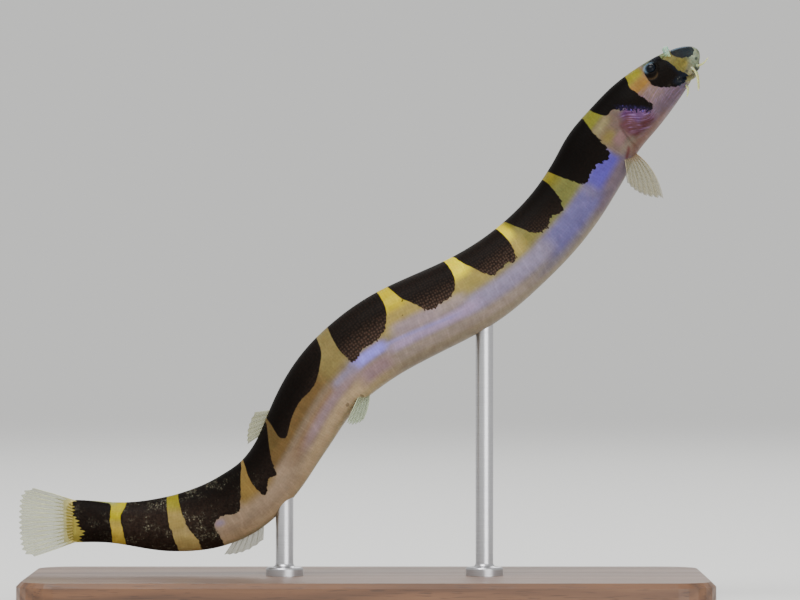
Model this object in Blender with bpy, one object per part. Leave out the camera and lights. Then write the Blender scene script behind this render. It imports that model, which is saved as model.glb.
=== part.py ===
"""Life-size model of a kuhli loach, climbing, on a plain display stand.

The fish is one swept body: a spine line that follows a list of headings, with an oval section
whose height and width change from the snout to the root of the tail fin. The body is parted into
a head, three trunk lengths and two tail lengths by thin cuts. Fins, barbels and eyes are nodes of
their own that stand a thin gap off the skin they grow from.

Units are metres, +Z is up and +X is the way the head points. The right flank faces -Y. The origin
is the middle of the underside of the base.
"""

import math

import bmesh
import bpy
import numpy as np
from mathutils import Vector
from mathutils.bvhtree import BVHTree

MM = 0.001

# Gap that keeps touching meshes apart
GAP = 0.3 * MM

# Snout tip above the middle of the base
SNOUT_TIP = np.array((33.8, -1.2, 56.7)) * MM

# Body length from the snout tip to the root of the tail fin
BODY_LENGTH = 84.4 * MM

# Stations of the body: distance behind the snout tip in mm, heading above the horizon in degrees,
# rise of the back and drop of the belly from the spine line, and half width, in mm
STATIONS = np.array((
    (0.0, 44.0, 3.00, 2.50, 2.30),
    (5.0, 44.5, 3.22, 2.65, 2.45),
    (9.0, 45.5, 3.45, 2.90, 2.55),
    (12.0, 50.5, 3.55, 3.05, 2.70),
    (15.0, 59.0, 3.80, 3.40, 2.80),
    (18.0, 58.0, 3.70, 3.45, 2.80),
    (22.0, 51.5, 3.65, 3.50, 2.85),
    (28.0, 41.0, 3.80, 3.60, 2.95),
    (33.5, 31.5, 4.00, 4.00, 3.10),
    (38.5, 25.5, 4.20, 4.10, 3.20),
    (43.0, 28.5, 4.30, 4.15, 3.20),
    (48.0, 40.0, 4.15, 4.05, 3.05),
    (52.0, 52.0, 4.05, 3.75, 2.90),
    (56.5, 61.5, 3.75, 3.50, 2.70),
    (60.0, 59.5, 3.40, 3.20, 2.55),
    (63.5, 48.0, 3.30, 3.20, 2.40),
    (67.5, 29.5, 3.40, 3.40, 2.20),
    (71.0, 15.0, 3.15, 3.35, 1.95),
    (75.0, 4.5, 2.65, 2.95, 1.60),
    (80.5, -3.0, 2.05, 2.15, 1.10),
    (84.4, 1.0, 2.20, 2.15, 0.75),
)) * (MM, 1.0, MM, MM, MM)
DISTANCE, HEADING, RISE, DROP, HALF_WIDTH = range(5)
SPINE_SAMPLES = 1681

# The body sways gently from side to side, as seen from above
SWAY_ANGLE = math.radians(7.0)
SWAY_LENGTH = 64.0 * MM

# Section: how slab-sided it is, and how much broader the head is below than above
SLAB = 0.035
JOWL = 0.14
JOWL_END = 16.0 * MM

# Length of the rounded snout, from its tip to where the head has its full height
SNOUT_ROUND = 9.4 * MM

# Share of the full height below which the snout's tip has no relief
SNOUT_PLAIN = 0.33

# Gill opening, which parts the head from the trunk: its place at the back and at the throat, and
# the angles down from the back between which it slants
GILL_TOP = 10.4 * MM
GILL_BOTTOM = 11.7 * MM
GILL_SLANT = (math.radians(30.0), math.radians(130.0))
GILL_EASE = 6.0 * MM

# Mouth: a crescent under the snout, from its middle to its corners. The head's rings bend to follow
# it between two angles down from the back.
MOUTH_FRONT = 1.65 * MM
MOUTH_CORNER = 3.0 * MM
MOUTH_HALF_ANGLE = math.radians(56.0)
MOUTH_EASE = 2.6 * MM
MOUTH_FADE = 8
MOUTH_REACH = 1.25
MOUTH_BEND = (math.radians(60.0), math.radians(110.0))
MOUTH_DEPTH = 0.34 * MM
MOUTH_WIDTH = 0.16 * MM
LIP_HEIGHT = 0.26 * MM
LIP_WIDTH = 0.30 * MM
LIP_SPACING = 0.46 * MM

# Eye: its centre on the head, its radius and how far it bulges
EYE_DISTANCE = 4.7 * MM
EYE_ANGLE = math.radians(45.0)
EYE_RADIUS = 0.5 * MM
EYE_THICKNESS = 0.36 * MM
EYE_DEPTH = 0.06 * MM
EYE_RIM = 0.07 * MM
EYE_RIM_WIDTH = 0.3 * MM
EYE_SIDES = 20
EYE_RINGS = 9

# Nostril, behind the root of the nasal barbel
NOSTRIL_DISTANCE = 3.15 * MM
NOSTRIL_ANGLE = math.radians(38.0)
NOSTRIL_RADIUS = 0.17 * MM
NOSTRIL_DEPTH = 0.45 * MM
NOSTRIL_RIM = 0.12 * MM
NOSTRIL_RIM_WIDTH = 0.36 * MM
NOSTRIL_FLARE = 0.3
NOSTRIL_SIDES = 10

# Gill cover, a low swelling on the cheek
COVER_DISTANCE = 8.9 * MM
COVER_ANGLE = math.radians(104.0)
COVER_HEIGHT = 0.24 * MM
COVER_WIDTH = 1.9 * MM
COVER_STRETCH = 1.15

# Radius of the head where its details lie
HEAD_RADIUS = 2.5 * MM

# Columns round the head as angles down from the back: first, last and how many
HEAD_COLUMNS = ((0.0, 70.0, 13), (77.0, 105.0, 5), (110.0, 138.0, 9), (142.0, 180.0, 9))

# Rings of the head: where the snout's tip, the mouth and the face end, and how many rings each has
TIP_END, TIP_RINGS, TIP_CROWDING = 1.05 * MM, 6, 1.6
MOUTH_END, MOUTH_RINGS = 2.25 * MM, 9
FACE_END, FACE_RINGS = 6.6 * MM, 18
CHEEK_RINGS = 8

# Cuts between the lengths of the body behind the head
LENGTHS = (
    ("trunk_front", 27.0 * MM),
    ("trunk_middle", 43.0 * MM),
    ("trunk_rear", 56.0 * MM),
    ("tail_front", 70.0 * MM),
    ("tail_rear", BODY_LENGTH),
)
RING_SPACING = 1.25 * MM
RING_SIDES = 26

# Barbels: distance behind the snout, angle down from the back, aim forward, up and outward,
# length in mm and root radius in mm. The tip has a share of the root's radius and ends in a short
# point, and the knee stands off the skin by a share of the length.
BARBELS = {
    "nasal": (2.6, 42.0, (0.30, 0.88, 0.36), 0.95, 0.26),
    "rostral": (1.2, 148.0, (0.82, -0.16, 0.46), 1.5, 0.26),
    "maxillary": (1.7, 129.0, (-0.44, -0.84, 0.42), 2.5, 0.27),
    "mandibular": (3.35, 146.0, (-0.56, -0.76, 0.34), 1.25, 0.25),
}
BARBEL_SIDES = 8
BARBEL_RINGS = 8
BARBEL_TIP = 0.38
BARBEL_POINT = 0.7
BARBEL_KNEE = 0.42

# Fins: membrane and ray thickness at the root and near the edge
FIN_THICKNESS = 0.52 * MM
FIN_EDGE_THICKNESS = 0.30 * MM
RAY_RELIEF = 0.11 * MM
FIN_SCALLOP = 0.05
FIN_ROWS = 6

# Share of a ray over which it rises out of the fin's root
RAY_RISE = 0.4

# Paired fins: place and length of the root along the body, its angle down from the back, and the
# aim and length of the first and last ray. An aim is forward, up and outward.
PAIRED_FINS = {
    "pectoral": {
        "rays": 9,
        "start": 12.3 * MM,
        "root": 0.8 * MM,
        "angle": 150.0,
        "angle_step": -17.0,
        "first_aim": (-0.36, -0.86, 0.38),
        "last_aim": (-0.68, -0.69, 0.26),
        "first": 5.6 * MM,
        "last": 2.3 * MM,
        "bulge": 0.15 * MM,
        "bow": 0.35 * MM,
        "sweep": 0.65 * MM,
    },
    "pelvic": {
        "rays": 6,
        "start": 49.2 * MM,
        "root": 0.8 * MM,
        "angle": 158.0,
        "angle_step": -14.0,
        "first_aim": (-0.87, -0.42, 0.26),
        "last_aim": (-0.94, -0.20, 0.26),
        "first": 2.9 * MM,
        "last": 3.4 * MM,
        "bulge": 0.3 * MM,
        "bow": 0.15 * MM,
        "sweep": 0.2 * MM,
    },
}

# Fins on the middle line: place and length of the root along the body, how far back the first and
# last ray lean, in degrees, and their lengths
MEDIAN_FINS = {
    "dorsal_fin": {
        "rays": 7,
        "start": 56.9 * MM,
        "root": 2.5 * MM,
        "first_lean": 54.0,
        "last_lean": 83.0,
        "first": 1.15 * MM,
        "last": 1.9 * MM,
        "bulge": 0.1 * MM,
        "bow": 0.1 * MM,
    },
    "anal_fin": {
        "rays": 6,
        "start": 66.4 * MM,
        "root": 2.6 * MM,
        "first_lean": 52.0,
        "last_lean": 76.0,
        "first": 1.3 * MM,
        "last": 1.9 * MM,
        "bulge": 0.4 * MM,
        "bow": 0.1 * MM,
    },
}

# Tail fin: number of rays, their length in the middle and at the corners, and how wide they fan
TAIL_RAYS = 15
TAIL_RAY_MIDDLE = 5.6 * MM
TAIL_RAY_CORNER = 5.5 * MM
TAIL_FAN = math.radians(18.0)
TAIL_ROOT_THICKNESS = 0.9 * MM
TAIL_BOW = 0.5 * MM
TAIL_ROWS = 8

# How far the tail fin's corners are rounded off, as a share of the ray, and how close to the corner
TAIL_CORNER_CUT = 0.22
TAIL_CORNER_POWER = 8

# Stand
BASE_SIZE = (70.0 * MM, 32.0 * MM, 3.0 * MM)
BASE_CORNER = 4.0 * MM
BASE_CHAMFER = 0.5 * MM
BASE_CORNER_POINTS = 7
ROD_RADIUS = 0.9 * MM
ROD_FOOT_RADIUS = 1.9 * MM
ROD_FOOT_HEIGHT = 1.0 * MM
ROD_FOOT_RIM = 0.6 * MM
ROD_SIDES = 20
ROD_PLACES = {
    "stand_rod_front": 12.0 * MM,
    "stand_rod_rear": -8.4 * MM,
}


def clear_scene():
    """Empties the scene that the script starts in."""
    for item in list(bpy.data.objects):
        bpy.data.objects.remove(item, do_unlink=True)


def ease(value):
    """Smooth step of a value, from 0 to 1."""
    value = np.clip(value, 0.0, 1.0)
    return value * value * (3.0 - 2.0 * value)


def station_value(column, distance):
    """A column of the stations, as a smooth curve through its values."""
    places, values = STATIONS[:, DISTANCE], STATIONS[:, column]
    slopes = np.gradient(values, places)
    start = np.clip(np.searchsorted(places, distance, side="right") - 1, 0, len(places) - 2)
    span = places[start + 1] - places[start]
    t = (distance - places[start]) / span
    return (
        (2 * t**3 - 3 * t**2 + 1) * values[start]
        + (t**3 - 2 * t**2 + t) * span * slopes[start]
        + (3 * t**2 - 2 * t**3) * values[start + 1]
        + (t**3 - t**2) * span * slopes[start + 1]
    )


def forward_at(distance):
    """Unit vectors towards the head."""
    pitch = np.radians(station_value(HEADING, distance))
    yaw = -SWAY_ANGLE * np.cos(2 * math.pi * distance / SWAY_LENGTH)
    return np.stack((np.cos(pitch) * np.cos(yaw), np.sin(yaw), np.sin(pitch) * np.cos(yaw)), -1)


def spine_line():
    """Distances behind the snout and the points of the spine there, summed from the headings."""
    places = np.linspace(0.0, BODY_LENGTH, SPINE_SAMPLES)
    middles = (places[1:] + places[:-1]) / 2
    steps = -forward_at(middles) * np.diff(places)[:, None]
    return places, SNOUT_TIP + np.concatenate((np.zeros((1, 3)), np.cumsum(steps, axis=0)))


SPINE_PLACES, SPINE_POINTS = spine_line()


def frame_at(distance):
    """Centre, forward, up and right vectors of the body at distances behind the snout."""
    distance = np.asarray(distance, float)
    centre = np.stack([np.interp(distance, SPINE_PLACES, SPINE_POINTS[:, k]) for k in range(3)], -1)
    pitch = np.radians(station_value(HEADING, distance))
    forward = forward_at(distance)
    up = np.stack((-np.sin(pitch), np.zeros_like(pitch), np.cos(pitch)), -1)
    return centre, forward, up, np.cross(forward, up)


def mouth_line(angle):
    """Distance behind the snout of the line of the mouth, at angles down from the back."""
    share = np.minimum((math.pi - angle) / MOUTH_HALF_ANGLE, MOUTH_REACH)
    return MOUTH_FRONT + (MOUTH_CORNER - MOUTH_FRONT) * share**2


def gill_line(angle):
    """Distance behind the snout of the gill opening, at angles down from the back."""
    top, bottom = GILL_SLANT
    return GILL_TOP + (GILL_BOTTOM - GILL_TOP) * ease((angle - top) / (bottom - top))


def relief(distance, angle):
    """Height of the lips, rims and gill cover over the plain section."""
    past_mouth = distance - mouth_line(angle)
    in_mouth = 1.0 / (1.0 + ((math.pi - angle) / MOUTH_HALF_ANGLE) ** MOUTH_FADE)
    lips = np.exp(-(((np.abs(past_mouth) - LIP_SPACING) / LIP_WIDTH) ** 2))
    height = in_mouth * (LIP_HEIGHT * lips - MOUTH_DEPTH * np.exp(-((past_mouth / MOUTH_WIDTH) ** 2)))

    def away(place, at_angle, along=1.0):
        """Distance over the skin from a spot on the head."""
        return np.hypot((distance - place) / along, (angle - at_angle) * HEAD_RADIUS)

    eye = away(EYE_DISTANCE, EYE_ANGLE)
    height = height + EYE_RIM * np.exp(-(((eye - EYE_RADIUS - GAP) / EYE_RIM_WIDTH) ** 2))
    nostril = away(NOSTRIL_DISTANCE, NOSTRIL_ANGLE)
    height = height + NOSTRIL_RIM * np.exp(-((nostril / NOSTRIL_RIM_WIDTH) ** 2))
    cover = away(COVER_DISTANCE, COVER_ANGLE, COVER_STRETCH)
    return height + COVER_HEIGHT * np.exp(-((cover / COVER_WIDTH) ** 4))


def skin(distance, phi, lift=0.0):
    """Points of the skin. Phi runs from the back, 0, over the right flank to the belly, pi."""
    distance, phi = np.broadcast_arrays(np.asarray(distance, float), np.asarray(phi, float))
    centre, _, up, right = frame_at(distance)
    angle = np.arccos(np.clip(np.cos(phi), -1.0, 1.0))
    rounding = np.sqrt(1.0 - (1.0 - np.clip(distance / SNOUT_ROUND, 0.0, 1.0)) ** 2)
    half_height = np.where(np.cos(phi) > 0, station_value(RISE, distance), station_value(DROP, distance))
    jowl = 1.0 - JOWL * np.cos(phi) * (1.0 - ease(distance / JOWL_END))
    slab = 1.0 + SLAB * np.sin(2 * phi) ** 2
    across = station_value(HALF_WIDTH, distance) * jowl * slab * np.sin(phi) * rounding
    height = half_height * slab * np.cos(phi) * rounding
    outward = up * np.cos(phi)[..., None] + right * np.sin(phi)[..., None]
    stand = relief(distance, angle) * np.minimum(rounding / SNOUT_PLAIN, 1.0) + lift
    return centre + right * across[..., None] + up * height[..., None] + outward * stand[..., None]


def skin_normal(distance, phi):
    """Outward unit normal of the skin at one place."""
    step, turn = 0.05 * MM, 0.02
    along = skin(distance + step, phi) - skin(distance - step, phi)
    around = skin(distance, phi + turn) - skin(distance, phi - turn)
    normal = np.cross(around, along)
    normal /= np.linalg.norm(normal)
    outward = skin(distance, phi) - frame_at(distance)[0]
    return normal if normal @ outward > 0 else -normal


def material(name, color, roughness=0.4, metallic=0.0):
    """A named surface finish."""
    made = bpy.data.materials.new(name)
    made.use_nodes = True
    shader = made.node_tree.nodes["Principled BSDF"]
    shader.inputs["Base Color"].default_value = (*color, 1.0)
    shader.inputs["Roughness"].default_value = roughness
    shader.inputs["Metallic"].default_value = metallic
    made.diffuse_color = (*color, 1.0)
    return made


def add_object(name, points, faces, origin, finish, parent, smooth=True):
    """A closed mesh object from points in the model's frame, with its own origin and parent."""
    mesh = bpy.data.meshes.new(name)
    mesh.from_pydata([tuple(point) for point in np.asarray(points) - origin], [], faces)
    mesh.validate()
    shaped = bmesh.new()
    shaped.from_mesh(mesh)
    bmesh.ops.recalc_face_normals(shaped, faces=shaped.faces)
    shaped.to_mesh(mesh)
    shaped.free()
    if smooth:
        mesh.shade_smooth()
        mesh.set_sharp_from_angle(angle=math.radians(40.0))
    mesh.materials.append(finish)
    made = bpy.data.objects.new(name, mesh)
    bpy.context.scene.collection.objects.link(made)
    made.parent = parent
    made.location = Vector(origin) - parent.location
    return made


def add_empty(name, place):
    """A reference point that pieces are placed from."""
    made = bpy.data.objects.new(name, None)
    bpy.context.scene.collection.objects.link(made)
    made.location = place
    return made


def swept_faces(rings, sides):
    """Faces of a stack of rings of points, without its ends."""
    return [
        (i * sides + j, i * sides + (j + 1) % sides, (i + 1) * sides + (j + 1) % sides, (i + 1) * sides + j)
        for i in range(rings - 1)
        for j in range(sides)
    ]


def closed_sweep(rings, first, last):
    """Points and faces of rings closed by a point before the first ring and one after the last."""
    count, sides = len(rings), len(rings[0])
    points = np.concatenate((np.reshape(rings, (-1, 3)), [first, last]))
    faces = swept_faces(count, sides)
    start, end = count * sides, count * sides + 1
    for j in range(sides):
        faces.append((start, (j + 1) % sides, j))
        faces.append((end, (count - 1) * sides + j, (count - 1) * sides + (j + 1) % sides))
    return points, faces


def head_columns():
    """Angles round the head, closer where the face has detail than on the cheeks."""
    half = np.radians(np.concatenate([np.linspace(*span) for span in HEAD_COLUMNS]))
    return np.concatenate((half, -half[-2:0:-1]))


def head_rows():
    """Distances behind the snout tip of the head's rings, closest at the mouth."""
    tip = TIP_END * (np.arange(1, TIP_RINGS + 1) / TIP_RINGS) ** TIP_CROWDING
    mouth = np.linspace(TIP_END, MOUTH_END, MOUTH_RINGS)[1:]
    face = np.linspace(MOUTH_END, FACE_END, FACE_RINGS)[1:]
    cheek = np.linspace(FACE_END, GILL_TOP, CHEEK_RINGS)[1:]
    return np.concatenate((tip, mouth, face, cheek))


def build_head(finish, parent):
    """The head, with lips, mouth, nostrils, eye sockets and gill covers."""
    phi = head_columns()
    angle = np.abs(phi)
    rings = []
    for row in head_rows():
        mouth_share = ease(row / MOUTH_FRONT) * ease(1.0 - (row - MOUTH_FRONT) / MOUTH_EASE)
        to_mouth = (mouth_line(np.maximum(angle, math.pi - MOUTH_HALF_ANGLE)) - MOUTH_FRONT) * mouth_share
        to_mouth *= ease((angle - MOUTH_BEND[0]) / (MOUTH_BEND[1] - MOUTH_BEND[0]))
        to_gill = (gill_line(angle) - GILL_TOP) * ease(1.0 - (GILL_TOP - row) / GILL_EASE)
        rings.append(skin(row + to_mouth + to_gill, phi))
    rear_centre = (rings[-1][0] + rings[-1][np.argmax(angle)]) / 2
    points, faces = closed_sweep(rings, SNOUT_TIP, rear_centre)
    head = add_object("head", points, faces, SNOUT_TIP, finish, parent)
    cutters = bpy.data.collections.new("head_cutters")
    bpy.context.scene.collection.children.link(cutters)
    for side in (1, -1):
        eye_phi, nostril_phi = side * EYE_ANGLE, side * NOSTRIL_ANGLE
        socket = eye_shape(eye_phi, GAP)
        add_cutter(f"socket_{side}", *socket, cutters)
        out = skin_normal(NOSTRIL_DISTANCE, nostril_phi)
        mouth_of_pit = skin(NOSTRIL_DISTANCE, nostril_phi)
        add_cutter(f"nostril_{side}", *pit_shape(mouth_of_pit, out), cutters)
    cut = head.modifiers.new("sockets_and_nostrils", "BOOLEAN")
    cut.operation = "DIFFERENCE"
    cut.operand_type = "COLLECTION"
    cut.collection = cutters
    cut.solver = "EXACT"
    return head


def add_cutter(name, points, faces, collection):
    """A hidden closed mesh that a Boolean cuts with."""
    mesh = bpy.data.meshes.new(name)
    mesh.from_pydata([tuple(point) for point in points], [], faces)
    shaped = bmesh.new()
    shaped.from_mesh(mesh)
    bmesh.ops.recalc_face_normals(shaped, faces=shaped.faces)
    shaped.to_mesh(mesh)
    shaped.free()
    made = bpy.data.objects.new(name, mesh)
    collection.objects.link(made)
    made.hide_render = True
    made.display_type = "WIRE"


def axes_from(normal):
    """Two unit vectors across a normal."""
    first = np.cross(normal, (0.0, 0.0, 1.0) if abs(normal[2]) < 0.9 else (1.0, 0.0, 0.0))
    first /= np.linalg.norm(first)
    return first, np.cross(normal, first)


def eye_shape(phi, grown=0.0):
    """Points and faces of an eye, a flattened ball set in the skin, grown by a gap for its socket."""
    normal = skin_normal(EYE_DISTANCE, phi)
    centre = skin(EYE_DISTANCE, phi) - normal * EYE_DEPTH
    first, second = axes_from(normal)
    turns = np.linspace(0.0, 2 * math.pi, EYE_SIDES, endpoint=False)[:, None]
    around = first * np.cos(turns) + second * np.sin(turns)
    radius, thick = EYE_RADIUS + grown, EYE_THICKNESS + grown
    stack = []
    for lean in np.linspace(0.0, math.pi, EYE_RINGS + 2)[1:-1]:
        stack.append(centre + normal * thick * math.cos(lean) + around * radius * math.sin(lean))
    return closed_sweep(stack, centre + normal * thick, centre - normal * thick)


def pit_shape(mouth, normal):
    """Points and faces of a tapered pit cut into the skin."""
    first, second = axes_from(normal)
    turns = np.linspace(0.0, 2 * math.pi, NOSTRIL_SIDES, endpoint=False)[:, None]
    around = first * np.cos(turns) + second * np.sin(turns)
    top, floor = mouth + normal * NOSTRIL_DEPTH, mouth - normal * NOSTRIL_DEPTH
    wide, narrow = NOSTRIL_RADIUS * (1 + NOSTRIL_FLARE), NOSTRIL_RADIUS * (1 - NOSTRIL_FLARE)
    rings = [top + around * wide, floor + around * narrow]
    return closed_sweep(rings, top, floor)


def build_length(name, start, end, finish, parent):
    """One length of the body, between two cuts. The first one starts at the gill opening."""
    phi = np.linspace(0.0, 2 * math.pi, RING_SIDES, endpoint=False)
    angle = np.arccos(np.cos(phi))
    follows_gill = name == LENGTHS[0][0]
    front = GILL_TOP + GAP if follows_gill else start + GAP / 2
    rear = end if name == LENGTHS[-1][0] else end - GAP / 2
    count = round((rear - front) / RING_SPACING) + 1
    rings = []
    for row in np.linspace(front, rear, count):
        slant = 0.0
        if follows_gill:
            slant = (gill_line(angle) - GILL_TOP) * ease(1.0 - (row - front) / GILL_EASE)
        rings.append(skin(row + slant, phi))
    middle = RING_SIDES // 2
    caps = [(ring[0] + ring[middle]) / 2 for ring in (rings[0], rings[-1])]
    points, faces = closed_sweep(rings, *caps)
    return add_object(name, points, faces, caps[0], finish, parent)


def build_eye(side, finish, parent):
    """One eye, a flattened ball in its socket."""
    phi = side * EYE_ANGLE
    points, faces = eye_shape(phi)
    name = "eye_right" if side > 0 else "eye_left"
    return add_object(name, points, faces, skin(EYE_DISTANCE, phi), finish, parent)


def build_barbel(kind, side, finish, parent):
    """One barbel, a tapered feeler that leaves the skin square and bends to its aim."""
    distance, degrees, aim, length, radius = BARBELS[kind]
    distance, length, radius = distance * MM, length * MM, radius * MM
    phi = side * math.radians(degrees)
    normal = skin_normal(distance, phi)
    root = skin(distance, phi) + normal * GAP
    _, forward, up, right = frame_at(distance)
    toward = forward * aim[0] + up * aim[1] + right * side * aim[2]
    toward /= np.linalg.norm(toward)
    knee, tip = root + normal * length * BARBEL_KNEE, skin(distance, phi) + toward * length
    first, _ = axes_from(normal)
    rings = []
    for share in np.linspace(0.0, 1.0, BARBEL_RINGS):
        centre = root * (1 - share) ** 2 + knee * 2 * share * (1 - share) + tip * share**2
        heading = (knee - root) * (1 - share) + (tip - knee) * share
        heading /= np.linalg.norm(heading)
        first = first - heading * (first @ heading)
        first /= np.linalg.norm(first)
        second = np.cross(heading, first)
        thick = radius * (1.0 - (1.0 - BARBEL_TIP) * share)
        turns = np.linspace(0.0, 2 * math.pi, BARBEL_SIDES, endpoint=False)[:, None]
        rings.append(centre + (first * np.cos(turns) + second * np.sin(turns)) * thick)
    end = tip + toward * radius * BARBEL_TIP * BARBEL_POINT
    points, faces = closed_sweep(rings, root, end)
    name = f"barbel_{kind}_{'right' if side > 0 else 'left'}"
    return add_object(name, points, faces, root, finish, parent)


def fin_solid(roots, tips, face_normal, bow=0.0, sweep=0.0, root_thickness=FIN_THICKNESS, rows=FIN_ROWS):
    """Points and faces of a fin: a membrane with a raised ray from each root to its tip.

    The rays are the even columns of a grid and the membrane between them the odd ones, which stop
    a little short so that the edge is scalloped. Both faces are split into the same triangles.
    """
    roots, tips = np.asarray(roots), np.asarray(tips)
    columns = 2 * len(roots) - 1
    places = np.arange(columns) / 2
    lower = np.floor(places).astype(int)
    upper = np.minimum(lower + 1, len(roots) - 1)
    part = (places - lower)[:, None]
    starts = roots[lower] * (1 - part) + roots[upper] * part
    ends = tips[lower] * (1 - part) + tips[upper] * part
    between = np.arange(columns) % 2 == 1
    ahead = np.cross(ends - starts, face_normal)
    ahead /= np.linalg.norm(ahead, axis=1)[:, None]
    ahead *= sweep * (1 - np.arange(columns) / (columns - 1))[:, None]
    ends[between] = starts[between] + (ends[between] - starts[between]) * (1 - FIN_SCALLOP)
    shares = np.linspace(0.0, 1.0, rows)
    front, back = [], []
    for column in range(columns):
        for share in shares:
            point = starts[column] * (1 - share) + ends[column] * share
            point = point + face_normal * bow * share**2 + ahead[column] * 4 * share * (1 - share)
            blend = ease(share / RAY_RISE)
            thick = root_thickness * (1 - blend) + FIN_THICKNESS * blend
            thick = thick * (1 - share**2) + FIN_EDGE_THICKNESS * share**2
            if not between[column]:
                thick += 2 * RAY_RELIEF * (1 - share) * blend
            front.append(point + face_normal * thick / 2)
            back.append(point - face_normal * thick / 2)
    points = np.array(front + back)
    other = columns * rows

    def at(column, row):
        return column * rows + row

    faces = []
    for i in range(columns - 1):
        for j in range(rows - 1):
            corners = at(i, j), at(i + 1, j), at(i + 1, j + 1), at(i, j + 1)
            for triangle in ((corners[0], corners[1], corners[2]), (corners[0], corners[2], corners[3])):
                faces.append(triangle)
                faces.append(tuple(k + other for k in reversed(triangle)))
    border = [at(i, 0) for i in range(columns)]
    border += [at(columns - 1, j) for j in range(1, rows)]
    border += [at(i, rows - 1) for i in range(columns - 2, -1, -1)]
    border += [at(0, j) for j in range(rows - 2, 0, -1)]
    for a, b in zip(border, border[1:] + border[:1]):
        faces.append((b, a, a + other))
        faces.append((b, a + other, b + other))
    return points, faces


def ray_tips(roots, backward, outward, lean, lengths):
    """Tips of rays that lean back by an angle from the outward line, one lean and length each."""
    lean = np.asarray(lean)[:, None]
    return roots + (backward * np.sin(lean) + outward * np.cos(lean)) * np.asarray(lengths)[:, None]


def build_median_fin(name, sizes, finish, parent):
    """The fin of the back or of the belly, on the middle line of the body."""
    on_back = name == "dorsal_fin"
    share = np.linspace(0.0, 1.0, sizes["rays"])
    places = sizes["start"] + sizes["root"] * share
    _, forward, up, right = frame_at(places)
    outward = up if on_back else -up
    roots = skin(places, 0.0 if on_back else math.pi) + outward * GAP
    lean = np.radians(sizes["first_lean"] * (1 - share) + sizes["last_lean"] * share)
    length = sizes["first"] * (1 - share) + sizes["last"] * share + sizes["bulge"] * np.sin(math.pi * share)
    tips = ray_tips(roots, -forward, outward, lean, length)
    points, faces = fin_solid(roots, tips, right[sizes["rays"] // 2], bow=sizes["bow"])
    return add_object(name, points, faces, roots[0], finish, parent)


def build_paired_fin(kind, side, finish, parent):
    """A pectoral or a pelvic fin, a fan of rays on a short root set across the lower flank."""
    sizes = PAIRED_FINS[kind]
    share = np.linspace(0.0, 1.0, sizes["rays"])
    places = sizes["start"] + sizes["root"] * share
    phi = side * np.radians(sizes["angle"] + sizes["angle_step"] * share)
    middle, middle_phi = float(places.mean()), float(phi.mean())
    normal = skin_normal(middle, middle_phi)
    roots = skin(places, phi) + normal * GAP
    _, forward, up, right = frame_at(middle)
    out = right * side
    fan = []
    for part in share:
        aim = np.array(sizes["first_aim"]) * (1 - part) + np.array(sizes["last_aim"]) * part
        toward = forward * aim[0] + up * aim[1] + out * aim[2]
        reach = sizes["first"] * (1 - part) + sizes["last"] * part + sizes["bulge"] * math.sin(math.pi * part)
        fan.append(toward / np.linalg.norm(toward) * reach)
    tips = roots + np.array(fan)
    face = np.cross(fan[0], fan[-1])
    face *= side / np.linalg.norm(face)
    points, faces = fin_solid(roots, tips, face, bow=sizes["bow"], sweep=side * sizes["sweep"])
    name = f"{kind}_fin_{'right' if side > 0 else 'left'}"
    return add_object(name, points, faces, roots[0], finish, parent)


def build_tail_fin(finish, parent):
    """The tail fin, a fan of rays off the end of the tail."""
    _, forward, up, right = frame_at(BODY_LENGTH)
    top, bottom = skin(BODY_LENGTH, 0.0), skin(BODY_LENGTH, math.pi)
    share = np.linspace(0.0, 1.0, TAIL_RAYS)[:, None]
    roots = top * (1 - share) + bottom * share - forward * GAP
    turn = TAIL_FAN * (1 - 2 * share)
    corner = np.abs(1 - 2 * share)
    reach = TAIL_RAY_MIDDLE * (1 - corner**2) + TAIL_RAY_CORNER * corner**2
    reach = reach * (1 - TAIL_CORNER_CUT * corner**TAIL_CORNER_POWER)
    tips = roots + (-forward * np.cos(turn) + up * np.sin(turn)) * reach
    points, faces = fin_solid(
        roots, tips, right, bow=TAIL_BOW, root_thickness=TAIL_ROOT_THICKNESS, rows=TAIL_ROWS
    )
    return add_object("caudal_fin", points, faces, roots[TAIL_RAYS // 2], finish, parent)


def build_base(finish, parent):
    """The flat base, a plate with round corners and a chamfer round its top."""
    length, depth, height = BASE_SIZE
    outline = []
    for centre_x, centre_y, start in (
        (length / 2 - BASE_CORNER, depth / 2 - BASE_CORNER, 0.0),
        (-length / 2 + BASE_CORNER, depth / 2 - BASE_CORNER, 90.0),
        (-length / 2 + BASE_CORNER, -depth / 2 + BASE_CORNER, 180.0),
        (length / 2 - BASE_CORNER, -depth / 2 + BASE_CORNER, 270.0),
    ):
        for turn in np.radians(start + np.linspace(0.0, 90.0, BASE_CORNER_POINTS)):
            outline.append((centre_x, centre_y, math.cos(turn), math.sin(turn)))
    outline = np.array(outline)

    def ring(radius, z):
        """The outline with its corners turned at a radius, at a height."""
        points = outline[:, :2] + outline[:, 2:] * radius
        return np.column_stack((points, np.full(len(points), z)))

    rings = [
        ring(BASE_CORNER, 0.0),
        ring(BASE_CORNER, height - BASE_CHAMFER),
        ring(BASE_CORNER - BASE_CHAMFER, height),
    ]
    sides = len(outline)
    faces = swept_faces(len(rings), sides)
    faces.append(tuple(range(sides)))
    faces.append(tuple(range(2 * sides, 3 * sides)))
    return add_object("stand_base", np.concatenate(rings), faces, np.zeros(3), finish, parent)


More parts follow.
